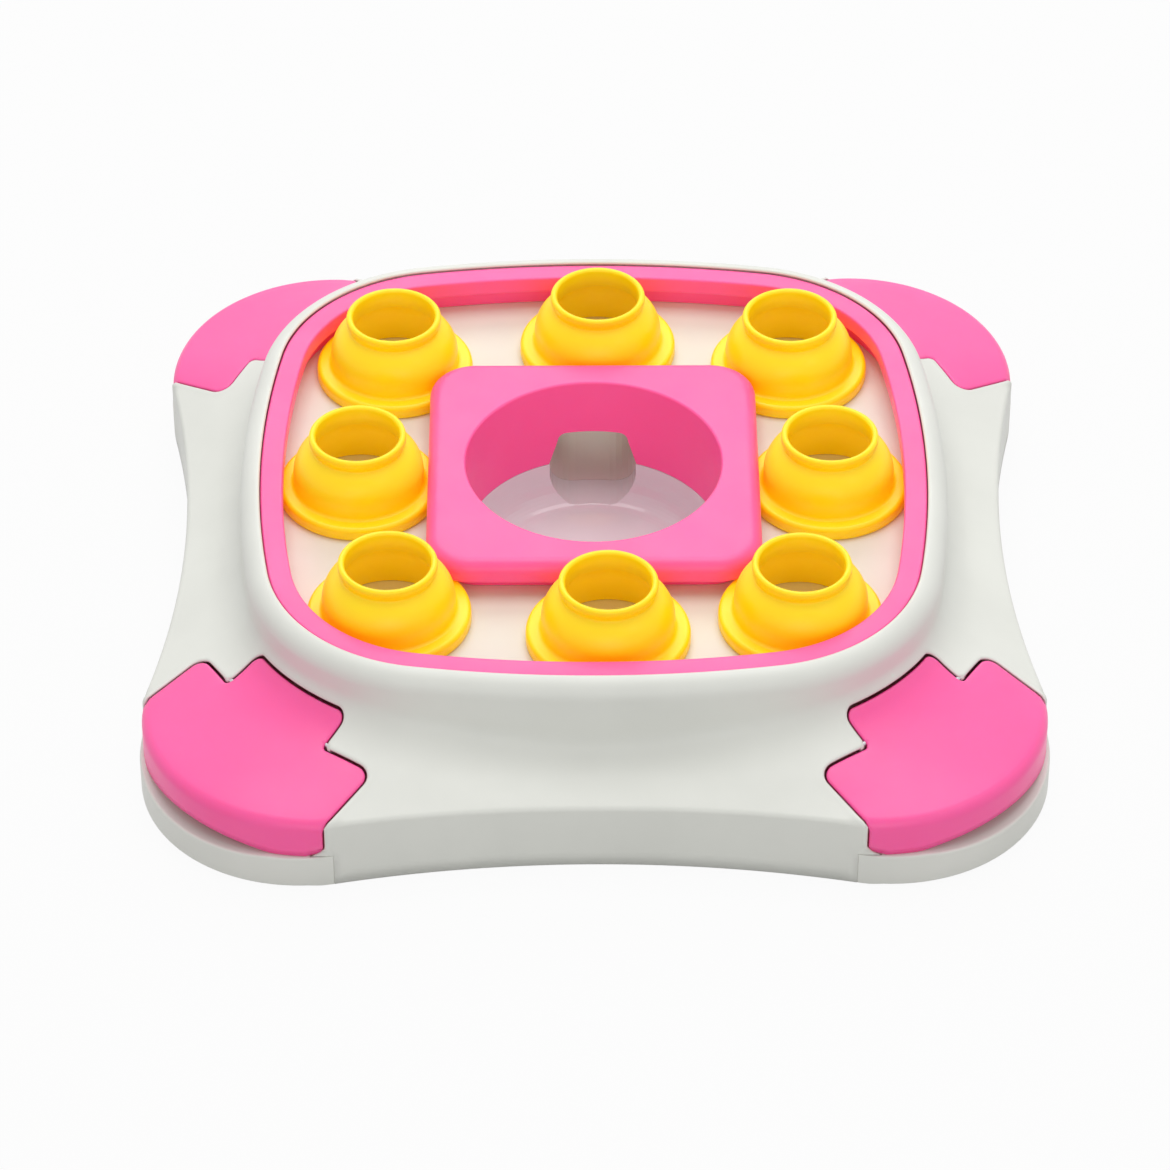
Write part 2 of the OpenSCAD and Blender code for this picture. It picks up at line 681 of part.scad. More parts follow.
module treat_chute() color(white) lift() difference() {
    intersection() {
        union() {
            chute_bar(chute_wall, 0, chute_back_y);
            translate([-chute_wall, tube_r + bowl_rim, floor_t])
                cube([2 * chute_wall, chute_back_y - tube_r - bowl_rim, bowl_z - floor_t]);
        }
        translate([-far, 0, floor_t]) cube([2 * far, chute_back_y, ledge_top - seat - floor_t]);
    }
    intersection() {
        chute_bar(0, 0, chute_back_y);
        translate([-far, 0, 0]) cube([2 * far, chute_back_y - chute_wall, far]);
    }
    drum(tube_r + seat, 0, far);
    drum(well_r + bowl_rim + seat, 0, bowl_z + seat);
}

// A cup with its mouth up
module cup() {
    top = deck_z + glide + flange_t;
    outer = acos((neck_r - shoulder_c) / shoulder_r);
    inner = acos((mouth_r - shoulder_c) / (shoulder_r - cup_wall));
    bead_c = mouth_r + bead_r;
    rotate_extrude() polygon(concat(
        [[flange_r, deck_z + glide]],
        arc([flange_r - flange_edge_r, top - flange_edge_r], flange_edge_r, 0, 90, 4),
        [[cup_r + lip_gap, top], [cup_r, top + lip_gap]],
        arc([shoulder_c, shoulder_z], shoulder_r, 0, outer, 8),
        [[neck_r, cup_z - bead_h]],
        arc([bead_c, cup_z - bead_h + bead_r], bead_r, -40, 0, 2),
        arc([bead_c, cup_z - bead_r], bead_r, 0, 180, 8),
        arc([shoulder_c, shoulder_z], shoulder_r - cup_wall, inner, 0, 6),
        [[cup_r - cup_wall, deck_z + glide]]
    ));
}
module corner_cup(i) color(yellow) lift() corner(i) translate([pivot * sqrt(2), 0, 0])
    rotate(CORNER_CUPS[i][0]) translate([path_r + corner_play * CORNER_CUPS[i][1], 0, 0]) cup();
module side_cup(i) color(yellow) lift() rotate(90 * i)
    translate([track_half + track_play * SIDE_CUPS[i][1], SIDE_CUPS[i][0], 0]) cup();

module corner_lid(i) color(pink) lift() corner(i) difference() {
    union() {
        difference() {
            intersection() {
                lid_body(lid_sink, skirt_z, lid_reach);
                slab(0, far) lid_mouth(lid_gap, swing_gap);
            }
            lid_body(lid_sink + lid_t, skirt_z - past, lid_reach + past);
        }
        hinge_pair(knuckle_r, tooth_foot_t + 0.2 - knuckle_w / 2, knuckle_w);
    }
    along_hinge(pin_r + pin_fit, -pin_half, pin_half);
    bow(skirt_z, skirt_arch);
}

module hinge_pin(i) color(steel) lift() corner(i) along_hinge(pin_r, -pin_half, pin_half);

module foot(i) color(rubber) corner(i) translate([foot_s, 0, 0])
    drum(foot_r, 0, foot_proud + foot_sunk);

// A pan-head screw driven upwards, with its head's seat at height z
module screw(z) {
    difference() {
        drum(screw_head_r, z - screw_head_t, z);
        for (a = [0, 90]) rotate(a) translate([-screw_r, -0.3, z - screw_head_t - past])
            cube([2 * screw_r, 0.6, past + screw_head_t / 2]);
    }
    drum(screw_r, z, z + screw_l);
}
module casing_screws() color(steel) lift() each_side(post_x, post_y) screw(floor_t + seat);
module ring_screws() color(steel) lift() each_side(ring_screw_x, ring_screw_y) screw(ledge_z);
module island_screws() color(steel) lift() each_corner() translate([island_screw * sqrt(2), 0, 0])
    screw(ledge_top);

base_tray();
body_shell();
play_deck();
rim_ring();
centre_island();
well_wall();
treat_bowl();
treat_chute();
for (i = [0 : 3]) {
    corner_cup(i);
    side_cup(i);
    corner_lid(i);
    hinge_pin(i);
    foot(i);
}
casing_screws();
ring_screws();
island_screws();
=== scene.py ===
"""Looks of the dog puzzle feeder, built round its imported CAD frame.

Sizes are in millimetres, with heights from the underside of the base tray, and place()
turns them into metres in the frame, where the toy stands on feet FOOT_PROUD below the tray.
Corners are numbered from the rear right one, counterclockwise as seen from above.
"""

import math

import bmesh
import bpy
import numpy as np
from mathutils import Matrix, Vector
from mathutils.geometry import delaunay_2d_cdt


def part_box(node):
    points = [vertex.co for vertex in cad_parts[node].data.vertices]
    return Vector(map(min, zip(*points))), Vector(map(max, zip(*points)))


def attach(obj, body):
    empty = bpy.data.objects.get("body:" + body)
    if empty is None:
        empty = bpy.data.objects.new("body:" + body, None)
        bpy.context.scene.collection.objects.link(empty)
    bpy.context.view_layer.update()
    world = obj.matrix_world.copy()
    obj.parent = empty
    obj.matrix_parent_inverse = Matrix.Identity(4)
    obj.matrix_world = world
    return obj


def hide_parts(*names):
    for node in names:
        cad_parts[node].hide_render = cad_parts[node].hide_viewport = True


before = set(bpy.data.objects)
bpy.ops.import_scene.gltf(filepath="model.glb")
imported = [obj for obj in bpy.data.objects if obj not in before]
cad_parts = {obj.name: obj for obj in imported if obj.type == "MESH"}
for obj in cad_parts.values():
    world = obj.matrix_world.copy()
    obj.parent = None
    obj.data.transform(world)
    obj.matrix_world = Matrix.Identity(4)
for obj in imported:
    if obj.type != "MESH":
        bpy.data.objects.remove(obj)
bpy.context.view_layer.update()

MM = 0.001
FOOT_PROUD = 0.8
CORNERS = ["rear_right", "rear_left", "front_left", "front_right"]
SIDES = ["mid_right", "rear_centre", "mid_left", "front_centre"]

# Outline and casing
SHELF_W, LOBE_OUT, LOBE_R = 27.2, 64.4, 54
WALL = 2.5
EDGE_MID_Z, EDGE_CORNER_Z, EDGE_R = 24, 25.8, 2
SHELF_MID_Z, SHELF_CORNER_Z = 31, 38.5
COVE_MID_OUT, COVE_CORNER_OUT, COVE_UP = 9, 22, 8
CREST_R, CREST_Z = 7, 58
# Pink ring
RING_HALF, RING_SIDE_R, RING_CORNER_R = 112.4, 370, 58
RING_Z, RING_WALL, RING_LIP, RING_LIP_H = 57, 4, 3.6, 6
DECK_Z = 44
# Island
ISLAND_HALF, ISLAND_CORNER_R, ISLAND_EDGE_R, ISLAND_Z = 56, 15.5, 4.5, 57.2
LIP_Z, STEM_HALF, STEM_CORNER_R = 49.3, 50.6, 12
WELL_R, WELL_Z, WELL_WALL = 43.3, 23.7, 2.5
DOOR_TOP_W, DOOR_FOOT_W, DOOR_H, DOOR_R = 24.4, 30.3, 12.3, 3
# Cups
FLANGE_R, FLANGE_T, FLANGE_EDGE_R = 27.1, 4.7, 1.6
CUP_R, CUP_STRAIGHT, SHOULDER_R, CUP_WALL = 22, 4.6, 12, 2.2
MOUTH_R, BEAD_T, BEAD_H, NECK_IN, CUP_Z = 14.2, 2.2, 3.4, 0.8, 68.9
GLIDE = 0.2
# Lids
SKIRT_Z, SKIRT_ARCH, LID_T, LID_SINK, LID_GAP = 12.4, 3, 2.2, 0.4, 0.6
LID_EDGE_R, LID_MOUTH, SWING_R, LID_LOW_R = 4.5, 2, 10.4, 3.2
# Lid sizes along the diagonal are distances from the ring's corner
TOOTH, TOOTH_FOOT, WING, LID_END = (18.1, 23.2), (4.8, 21.6), (12.8, 41.3), (37.9, 43.9)
LID_NOSE, HINGE = 57.8, 16.2
# Corner radii of the opening behind a lid, and how far its outline runs past the side wall
TAB_R, TOOTH_R, NOTCH_R, WING_R, MOUTH_REACH = 3.4, 2.2, 1.0, 4.5, 34
LID_ARC_SHIFT = -0.2
# Edges of the opening and of the lid: distance from the edge, and how far the face sinks there
BEAD = [(0, 0.7), (0.12, 0.32), (0.35, 0.08), (0.75, -0.06), (1.2, -0.08), (1.8, 0)]
ROLL = [(0, 0.9), (0.12, 0.45), (0.35, 0.16), (0.75, 0.03), (1.2, 0.0)]
# Walls of the skins, and the least share of them that a relief leaves
SKIN_T, LID_SKIN_T, THINNEST = 2.0, LID_T - 0.3, 0.15
RELIEF_OUT, RELIEF_HALF = 7, 6
HINGE_Z, KNUCKLE_R, KNUCKLE_W, EAR_R, EAR_W = 33.2, 1.7, 5, 1.3, 1.6
# Tray
FLOOR_T, TRAY_WALL, RIM_Z, RIM_LEDGE, LOBE_HALF = 2.4, 2.6, 12.1, 8, 45.4
SCOOP_DEPTH, SCOOP_W, POCKET, POCKET_HALF = 1.2, 62, 21.8, 37
POST_X, POST_Y, SCREW_HOLE_R = 48, 129.4, 1.2
SEAT = 0.2

# ---------------------------------------------------------------- plan curves
RING_SIDE_C = RING_SIDE_R - RING_HALF
RING_CORNER_C = (
    math.sqrt(2 * (RING_SIDE_R - RING_CORNER_R) ** 2 - RING_SIDE_C**2) - RING_SIDE_C
) / math.sqrt(2)
RING_TIP = RING_CORNER_C + RING_CORNER_R
LOBE_C = RING_CORNER_C + LOBE_OUT
WAIST_HALF = RING_HALF + SHELF_W
SIDE_R = (
    LOBE_C**2 + WAIST_HALF**2 - math.sqrt(2) * LOBE_C * WAIST_HALF - LOBE_R**2
) / (2 * LOBE_R - 2 * WAIST_HALF + math.sqrt(2) * LOBE_C)
SIDE_C = WAIST_HALF + SIDE_R
TOOTH, TOOTH_FOOT, WING, LID_END = (
    (RING_TIP + p[0], p[1]) for p in (TOOTH, TOOTH_FOOT, WING, LID_END)
)
LID_NOSE_S, HINGE_S, POCKET_S = RING_TIP + LID_NOSE, RING_TIP + HINGE, RING_TIP + POCKET
LID_RISE = LID_NOSE_S - LID_END[0]
LID_NOSE_R = (LID_END[1] ** 2 + LID_RISE**2) / 2 / LID_RISE
LID_NOSE_C = LID_NOSE_S - LID_NOSE_R
EIGHTH = math.radians(45)


def far_hit(c, r, a):
    """Where a ray at angle a leaves the circle of radius r whose centre is c along X."""
    return c * np.cos(a) + np.sqrt(r * r - (c * np.sin(a)) ** 2)


def near_hit(c, r, a):
    """Where the same ray enters the circle."""
    return c * np.cos(a) - np.sqrt(r * r - (c * np.sin(a)) ** 2)


def join_angle(p, q, d):
    """Angle at which the arc round p, of radius d, meets the one round q."""
    v = np.array(p) + d * (np.array(q) - p) / np.linalg.norm(np.array(q) - p)
    return math.atan2(v[1], v[0])


DIAGONAL = np.array([math.cos(EIGHTH), math.sin(EIGHTH)])


def outline(a, d=0):
    """Distance of the toy's outline, moved in by d, on a ray at angle a from the diagonal."""
    join = join_angle((LOBE_C, 0), SIDE_C * DIAGONAL, LOBE_R - d)
    if abs(a) < join:
        return far_hit(LOBE_C, LOBE_R - d, a)
    return near_hit(SIDE_C, SIDE_R + d, EIGHTH - abs(a))


def ring(a, d=0):
    """Distance of the pink ring's outer edge, moved out by d, on the same ray."""
    join = join_angle((RING_CORNER_C, 0), -RING_SIDE_C * DIAGONAL, -RING_CORNER_R - d)
    if abs(a) < join:
        return far_hit(RING_CORNER_C, RING_CORNER_R + d, a)
    return far_hit(-RING_SIDE_C, RING_SIDE_R + d, EIGHTH - abs(a))


def lid_edge(a, d=0):
    """Distance of a lid's outer edge, moved in by d, on the same ray."""
    return far_hit(LID_NOSE_C, LID_NOSE_R - d, a)


def ring_offset(p):
    """How far a plan point lies outside the pink ring's outer edge."""
    s, t = p[0], abs(p[1])
    a = math.atan2(t, s)
    low, high = -20.0, 60.0
    for _ in range(40):
        mid = (low + high) / 2
        if ring(a, mid) < math.hypot(s, t):
            low = mid
        else:
            high = mid
    return (low + high) / 2


# ---------------------------------------------------------------- the casing's face
# A point of the face is given by its angle from the diagonal and by a row: whole numbers
# are where one stretch of the profile ends and the next begins.
ROW_TOP, ROW_WALL, ROW_COVE, ROW_SHELF, ROW_EDGE, ROW_SIDE, ROW_FOOT = range(7)
# Nominal lengths down the face and per degree round it, to space the mesh
ROW_MM, DEGREE_MM = [0, 14, 22, 40, 68, 72, 96], 2.6


def blend(mid, corner, a):
    """A value that runs from corner on the diagonal to mid halfway along a side."""
    return mid + (corner - mid) * math.cos(2 * a) ** 2


def shelf_height(a):
    return blend(SHELF_MID_Z, SHELF_CORNER_Z, a)


def edge_height(a):
    return blend(EDGE_MID_Z, EDGE_CORNER_Z, a)


def shelf_slope(a):
    return math.atan((shelf_height(a) - edge_height(a)) / (outline(a) - ring(a, CREST_R)))


def edge_start(a, sink, of_lid):
    """Corner, radius and slope of the face's rounded outer edge."""
    slope = shelf_slope(a)
    r = (LID_EDGE_R if of_lid else EDGE_R) - sink
    out = lid_edge(a, sink) if of_lid else outline(a, sink)
    z = edge_height(a) + math.tan(slope) * (outline(a) - out) - sink / math.cos(slope)
    return slope, r, z - r * (1 - math.sin(slope)) / math.cos(slope)


def edge_point(a, sink, of_lid, share):
    """A point of the rounded edge, from the side wall (0) to the shelf (1)."""
    slope, r, z = edge_start(a, sink, of_lid)
    f = share * (math.pi / 2 - slope)
    d = sink + r * (1 - math.cos(f))
    return (lid_edge(a, d) if of_lid else outline(a, d)), z + r * math.sin(f)


def cove_point(a, sink, u):
    """A point of the cove, from the ring wall (0) to the shelf (1)."""
    slope = shelf_slope(a)
    out = blend(COVE_MID_OUT, COVE_CORNER_OUT, a)
    top = shelf_height(a)
    low = np.array(
        (out - sink * math.sin(slope), top - out * math.tan(slope) - sink * math.cos(slope))
    )
    bend = np.array((-sink, top + sink * (math.tan(slope) - 1 / math.cos(slope))))
    high = np.array((-sink, top + COVE_UP))
    p = u * u * low + 2 * u * (1 - u) * bend + (1 - u) ** 2 * high
    return ring(a, CREST_R + p[0]), p[1]


def face_point(a, row, sink=0.0, of_lid=False, foot_z=0.0):
    """(distance from the middle, height) of a point of the face."""
    row = min(max(row, 0), ROW_FOOT)
    zone = min(int(row), ROW_FOOT - 1)
    f = row - zone
    if zone == ROW_TOP:
        lip_share, lip_r = 0.2, 0.8  # the crest's small inner edge
        start = math.acos((SEAT + lip_r) / CREST_R)
        centre_z = CREST_Z - CREST_R
        if f < lip_share:
            g = f / lip_share * math.pi / 2
            top = centre_z + CREST_R * math.sin(start)
            return ring(a, SEAT + lip_r * (1 - math.cos(g))), top - lip_r * (1 - math.sin(g))
        g = start * (1 - (f - lip_share) / (1 - lip_share))
        return ring(a, CREST_R * math.cos(g)), centre_z + CREST_R * math.sin(g)
    if zone == ROW_WALL:
        low = shelf_height(a) + COVE_UP
        return ring(a, CREST_R), CREST_Z - CREST_R + f * (low - CREST_Z + CREST_R)
    if zone == ROW_COVE:
        return cove_point(a, sink, f)
    if zone == ROW_SHELF:
        p, q = cove_point(a, sink, 1), edge_point(a, sink, of_lid, 1)
        return p[0] + f * (q[0] - p[0]), p[1] + f * (q[1] - p[1])
    if zone == ROW_EDGE:
        return edge_point(a, sink, of_lid, 1 - f)
    p = edge_point(a, sink, of_lid, 0)
    return p[0], p[1] + f * (foot_z - p[1])


def row_of(p, sink, of_lid):
    """(angle, row) of a plan point on the cove, the shelf or the rounded edge."""
    a = math.atan2(p[1], p[0])
    rho = math.hypot(*p)
    start = cove_point(a, sink, 1)[0]
    end = edge_point(a, sink, of_lid, 1)[0]
    if rho < start:
        out = blend(COVE_MID_OUT, COVE_CORNER_OUT, a) - sink * math.sin(shelf_slope(a))
        d = ring_offset(p) - CREST_R
        return a, ROW_COVE + math.sqrt(max(d + sink, 0) / (out + sink))
    if rho <= end:
        return a, ROW_SHELF + (rho - start) / (end - start)
    slope, r, _ = edge_start(a, sink, of_lid)
    face = edge_point(a, sink, of_lid, 0)[0]
    f = math.acos(min(1, max(-1, 1 - (face - rho) / r)))
    return a, ROW_EDGE + 1 - min(1, f / (math.pi / 2 - slope))


def spread(a, row):
    """The point's place on the sheet that the mesh is spread on."""
    return math.degrees(a) * DEGREE_MM, np.interp(row, range(7), ROW_MM)


# ---------------------------------------------------------------- lid openings
ARC_STEPS, CORNER_STEPS = 14, 6


def shifted(p, q, g):
    """The line from p to q moved by g to its right, as a point and a direction."""
    u = (np.array(q, float) - p) / np.linalg.norm(np.array(q, float) - p)
    return np.array(p) + g * np.array([u[1], -u[0]]), u


def crossing(m, n):
    """Where two lines meet, each a point and a direction."""
    d = m[1][0] * n[1][1] - m[1][1] * n[1][0]
    w = n[0] - m[0]
    return m[0] + (w[0] * n[1][1] - w[1] * n[1][0]) / d * m[1]


def rounded_corner(m, n, r):
    """Arc of radius r in the corner between lines m and n; which side follows from the turn."""
    turn = math.copysign(1, m[1][0] * n[1][1] - m[1][1] * n[1][0])
    side = [np.array([-u[1], u[0]]) * turn * r for u in (m[1], n[1])]
    c = crossing((m[0] + side[0], m[1]), (n[0] + side[1], n[1]))
    return arc_between(c, c - side[0], c - side[1])


def arc_between(c, p, q):
    """The shorter arc round c from p to q."""
    f0 = math.atan2(*(p - c)[::-1])
    f1 = math.atan2(*(q - c)[::-1])
    f1 = f0 + (f1 - f0 + math.pi) % (2 * math.pi) - math.pi
    r = np.linalg.norm(p - c)
    return [
        c + r * np.array([math.cos(f), math.sin(f)])
        for f in np.linspace(f0, f1, CORNER_STEPS + 1)
    ]


def mouth(g, swing, tooth_r):
    """Half the outline behind a lid, from the diagonal outwards, moved in by g.

    Its inner arc is moved by g + swing. The white tooth is rounded by tooth_r at g = 0.
    """
    inner = shifted(TOOTH_FOOT, TOOTH, g)
    back = shifted(TOOTH, WING, g)
    end = shifted(WING, LID_END, g)
    centre = np.array([RING_CORNER_C, 0.0])
    arc_r = RING_CORNER_R + CREST_R + LID_MOUTH + swing + g
    tab_r = max(TAB_R - g, 0.2)
    # The corner between the inner arc and the tooth's side
    normal = np.array([inner[1][1], -inner[1][0]])
    base = inner[0] + normal * tab_r - centre
    along = -base.dot(inner[1]) + math.sqrt(
        base.dot(inner[1]) ** 2 - base.dot(base) + (arc_r + tab_r) ** 2
    )
    c = centre + base + along * inner[1]
    touch = centre + (c - centre) / np.linalg.norm(c - centre) * arc_r
    tab = arc_between(c, touch, c - normal * tab_r)
    top = math.atan2(*(touch - centre)[::-1])
    arc = [
        centre + arc_r * np.array([math.cos(f), math.sin(f)])
        for f in np.linspace(0, top, ARC_STEPS + 1)[:-1]
    ]
    tooth = rounded_corner(inner, back, max(tooth_r + g, 0.15))
    wing = rounded_corner(back, end, max(WING_R - g, 0.2))
    tail = [wing[-1] + k * end[1] for k in np.linspace(0, MOUTH_REACH, 16)[1:]]
    points, step = list(arc), 2.2
    for stretch in (tab, tooth, wing, tail):
        last = points[-1]
        count = max(2, int(round(np.linalg.norm(stretch[0] - last) / step)) + 1)
        points += [last + (stretch[0] - last) * k for k in np.linspace(0, 1, count)[1:-1]]
        points += list(stretch)
    return points


def mouth_rows(points, sink, of_lid):
    """Angles and rows of a mouth's points, as far as the side wall."""
    def past_wall(p):
        a = math.atan2(p[1], p[0])
        return math.hypot(*p) > edge_point(a, sink, of_lid, 0)[0] - 0.02

    found = []
    for i, p in enumerate(points):
        if past_wall(p):
            low, high = points[i - 1], p
            for _ in range(30):
                mid = (low + high) / 2
                low, high = (low, mid) if past_wall(mid) else (mid, high)
            found.append((math.atan2(low[1], low[0]), ROW_SIDE))
            break
        found.append(row_of(p, sink, of_lid))
    return found


# ---------------------------------------------------------------- mesh helpers


def place(p):
    return Vector((p[0] * MM, p[1] * MM, (p[2] + FOOT_PROUD) * MM))


def new_object(name, points, faces):
    mesh = bpy.data.meshes.new(name)
    mesh.from_pydata([place(p) for p in points], [], [list(map(int, f)) for f in faces])
    mesh.validate()
    bm = bmesh.new()
    bm.from_mesh(mesh)
    bmesh.ops.remove_doubles(bm, verts=bm.verts, dist=0.004 * MM)
    bmesh.ops.recalc_face_normals(bm, faces=bm.faces)
    bm.to_mesh(mesh)
    bm.free()
    mesh.polygons.foreach_set("use_smooth", [True] * len(mesh.polygons))
    obj = bpy.data.objects.new(name, mesh)
    bpy.context.scene.collection.objects.link(obj)
    return obj


def loft(loops, closed_across=True, caps=False):
    """Points and faces of a skin through closed loops of equal length."""
    n, m = len(loops), len(loops[0])
    points = [p for loop in loops for p in loop]
    faces = [
        (i * m + j, i * m + (j + 1) % m, (i + 1) % n * m + (j + 1) % m, (i + 1) % n * m + j)
        for i in range(n if closed_across else n - 1)
        for j in range(m)
    ]
    if caps:
        faces += [tuple(range(m))[::-1], tuple((n - 1) * m + j for j in range(m))]
    return points, faces


def joined(*parts):
    """Several (points, faces) as one."""
    points, faces = [], []
    for p, f in parts:
        faces += [[k + len(points) for k in face] for face in f]
        points += list(p)
    return points, faces


def inside(p, loop):
    """True for each point inside the closed loop."""
    x, y = p[:, 0][:, None], p[:, 1][:, None]
    a = np.array(loop, float)
    b = np.roll(a, -1, axis=0)
    cross = (a[:, 1] > y) != (b[:, 1] > y)
    with np.errstate(divide="ignore", invalid="ignore"):
        at = a[:, 0] + (y - a[:, 1]) / (b[:, 1] - a[:, 1]) * (b[:, 0] - a[:, 0])
    return (cross & (x < at)).sum(1) % 2 == 1


def distance_to(p, line):
    """Distance of each point from an open polyline."""
    a, b = np.array(line[:-1], float), np.array(line[1:], float)
    ab = b - a
    w = p[:, None, :] - a[None]
    f = np.clip((w * ab).sum(2) / np.maximum((ab * ab).sum(1), 1e-12), 0, 1)
    return np.linalg.norm(w - f[..., None] * ab, axis=2).min(1)


def fill(border, holes=(), lines=(), spots=()):
    """Triangulates the sheet inside border and outside holes, through lines and spots."""
    points, edges = [], []
    closed_loops = [border, *holes]
    for k, loop in enumerate([*closed_loops, *lines]):
        start = len(points)
        points += [tuple(p) for p in loop]
        edges += [(start + i, start + i + 1) for i in range(len(loop) - 1)]
        if k < len(closed_loops):
            edges.append((len(points) - 1, start))
    points += [tuple(p) for p in spots]
    vertices, _, faces, _, _, _ = delaunay_2d_cdt(
        [Vector(p) for p in points], edges, [], 0, 1e-5
    )
    v = np.array([tuple(p) for p in vertices])
    middle = np.array([v[list(f)].mean(0) for f in faces])
    keep = inside(middle, border)
    for h in holes:
        keep &= ~inside(middle, h)
    return v, [tuple(f) for f, k in zip(faces, keep) if k]


def plate(border, z0, z1, holes=()):
    """A flat plate between two heights, with holes right through it."""
    v, tris = fill(border, holes)
    n = len(v)
    points = [(x, y, z) for z in (z0, z1) for x, y in v]
    faces = [f[::-1] for f in tris] + [tuple(k + n for k in f) for f in tris]
    edges = {}
    for f in tris:
        for i in range(3):
            edges[(f[i], f[(i + 1) % 3])] = 1
    faces += [(i, j, j + n, i + n) for i, j in edges if (j, i) not in edges]
    return points, faces


def circle(r, x=0, y=0, steps=48):
    return [
        (x + r * math.cos(2 * math.pi * k / steps), y + r * math.sin(2 * math.pi * k / steps))
        for k in range(steps)
    ]


def lathe(profile, steps=128):
    """A closed profile of (radius, height) points turned round the Z axis."""
    return loft(
        [
            [(r * math.cos(f), r * math.sin(f), z) for r, z in profile]
            for f in np.linspace(0, 2 * math.pi, steps, endpoint=False)
        ]
    )


def arc(c, r, start, end, steps):
    """Points (x, y) along an arc between two angles in degrees."""
    return [
        (c[0] + r * math.cos(f), c[1] + r * math.sin(f))
        for f in np.radians(np.linspace(start, end, steps + 1))
    ]


def turned(points, i):
    """Points of corner i's frame, in which X is the diagonal, put in the toy's frame."""
    f = math.radians(45 + 90 * i)
    c, s = math.cos(f), math.sin(f)
    return [(c * p[0] - s * p[1], s * p[0] + c * p[1], *p[2:]) for p in points]


def mirrored(points):
    """Points of a corner's frame on the other side of the diagonal."""
    return [(p[0], -p[1], *p[2:]) for p in points]


def rod(r, t0, t1, chamfer=0.25, steps=32):
    """A rod with eased ends along a lid's hinge, in the corner's frame."""
    profile = [(0, t0), (r - chamfer, t0), (r, t0 + chamfer)]
    profile += [(r, t1 - chamfer), (r - chamfer, t1), (0, t1)]
    loops = [
        [(HINGE_S + q * math.cos(f), t, HINGE_Z + q * math.sin(f)) for q, t in profile]
        for f in np.linspace(0, 2 * math.pi, steps, endpoint=False)
    ]
    return loft(loops)


# ---------------------------------------------------------------- skins of the face


def skin(sheet, faces, drops, sink, of_lid, foot_z):
    """Lifts (angle, row) points on to the face, pushed in along its normal by drops."""
    def at(a, row):
        rho, z = face_point(a, row, sink, of_lid, foot_z(a))
        return np.array([rho * math.cos(a), rho * math.sin(a), z])

    points = []
    for (a, row), drop in zip(sheet, drops):
        p = at(a, row)
        if drop:
            da = at(a + 1e-4, row) - at(a - 1e-4, row)
            dr = at(a, row + 1e-4) - at(a, row - 1e-4)
            normal = np.cross(da, dr)
            normal /= np.linalg.norm(normal)
            if normal[2] + 0.5 * normal[0] < 0:
                normal = -normal
            p = p - normal * drop
        points.append(tuple(p))
    return points, faces


def half_sheet(border, lines, spots, drops_of):
    """Fills a sheet given in (angle, row) points. drops_of maps each line's points to drops."""
    lay = lambda pts: [spread(a, row) for a, row in pts]
    v, faces = fill(lay(border), lines=[lay(k) for k in lines], spots=lay(spots))
    rows = np.interp(v[:, 1], ROW_MM, range(7))
    sheet = [(math.radians(x / DEGREE_MM), row) for x, row in zip(v[:, 0], rows)]
    drops = np.zeros(len(v))
    for line, drop in drops_of:
        near = distance_to(v, lay(line)) < 0.02
        drops[near] = drop
    return sheet, faces, drops


ROWS = (
    [k / 20 for k in range(20)]
    + [1 + k / 3 for k in range(3)]
    + [2 + k / 16 for k in range(16)]
    + [3 + k / 10 for k in range(10)]
    + [4 + k / 7 for k in range(7)]
    + [5 + k / 4 for k in range(5)]
)


def low_corner(a, row, high, rows, r):
    """A line down the side wall at angle a, from rows and high mm above row, then round to it."""
    tall, wide = r * rows / high, r / edge_point(a, 0, False, 0)[0]
    straight = [(a, k) for k in np.linspace(row - rows, row - tall, 5)[1:]]
    return straight + [
        (a - wide * (1 - math.cos(f)), row - tall * (1 - math.sin(f)))
        for f in np.radians(np.linspace(0, 90, 7))[1:]
    ]


def casing():
    """One eighth of the casing's face, with a raised bead round the lid's opening."""
    loops = [(mouth_rows(mouth(-out, 0, TOOTH_R), 0, False), drop) for out, drop in BEAD]
    seam = math.asin(LOBE_HALF / outline(math.asin(LOBE_HALF / 170)))
    side_top = edge_point(seam, 0, False, 0)[1]
    rim_row = ROW_SIDE + 1 - (RIM_Z + SEAT) / side_top
    edge = loops[0][0]
    end_a = edge[-1][0]
    down = low_corner(
        end_a, rim_row, side_top - RIM_Z - SEAT, rim_row - ROW_SIDE, LID_LOW_R + LID_GAP
    )
    seam_line = [(seam, row) for row in np.linspace(rim_row, ROW_FOOT, 5)]
    border = (
        [(a, ROW_TOP) for a in np.linspace(0, EIGHTH, 45)]
        + [(EIGHTH, row) for row in ROWS[1:]]
        + [(a, ROW_FOOT) for a in np.linspace(EIGHTH, seam, 25)[1:-1]]
        + seam_line[::-1]
        + down[::-1]
        + edge[::-1]
        + [(0, row) for row in ROWS if 0 < row < edge[0][1] - 0.01][::-1]
    )
    lines, drops_of = [], [(edge + down, loops[0][1])]
    for rows, drop in loops[1:]:
        line = rows + [(rows[-1][0], row) for row in np.linspace(ROW_SIDE, rim_row, 5)[1:-1]]
        lines.append(line)
        drops_of.append((line, drop))
    last = loops[-1][0]
    spots = [(a, row) for a in np.linspace(0, EIGHTH, 45)[1:-1] for row in ROWS[1:-1]]
    flat = np.array([spread(a, row) for a, row in spots])
    hole = [spread(0, last[0][1])] + [spread(a, row) for a, row in last]
    hole += [spread(last[-1][0], ROW_FOOT), spread(0, ROW_FOOT)]
    keep = ~inside(flat, hole) & (distance_to(flat, hole) > 1.0)
    spots = [s for s, k in zip(spots, keep) if k]
    return skin(*half_sheet(border, lines, spots, drops_of), 0, False, lambda a: 0)


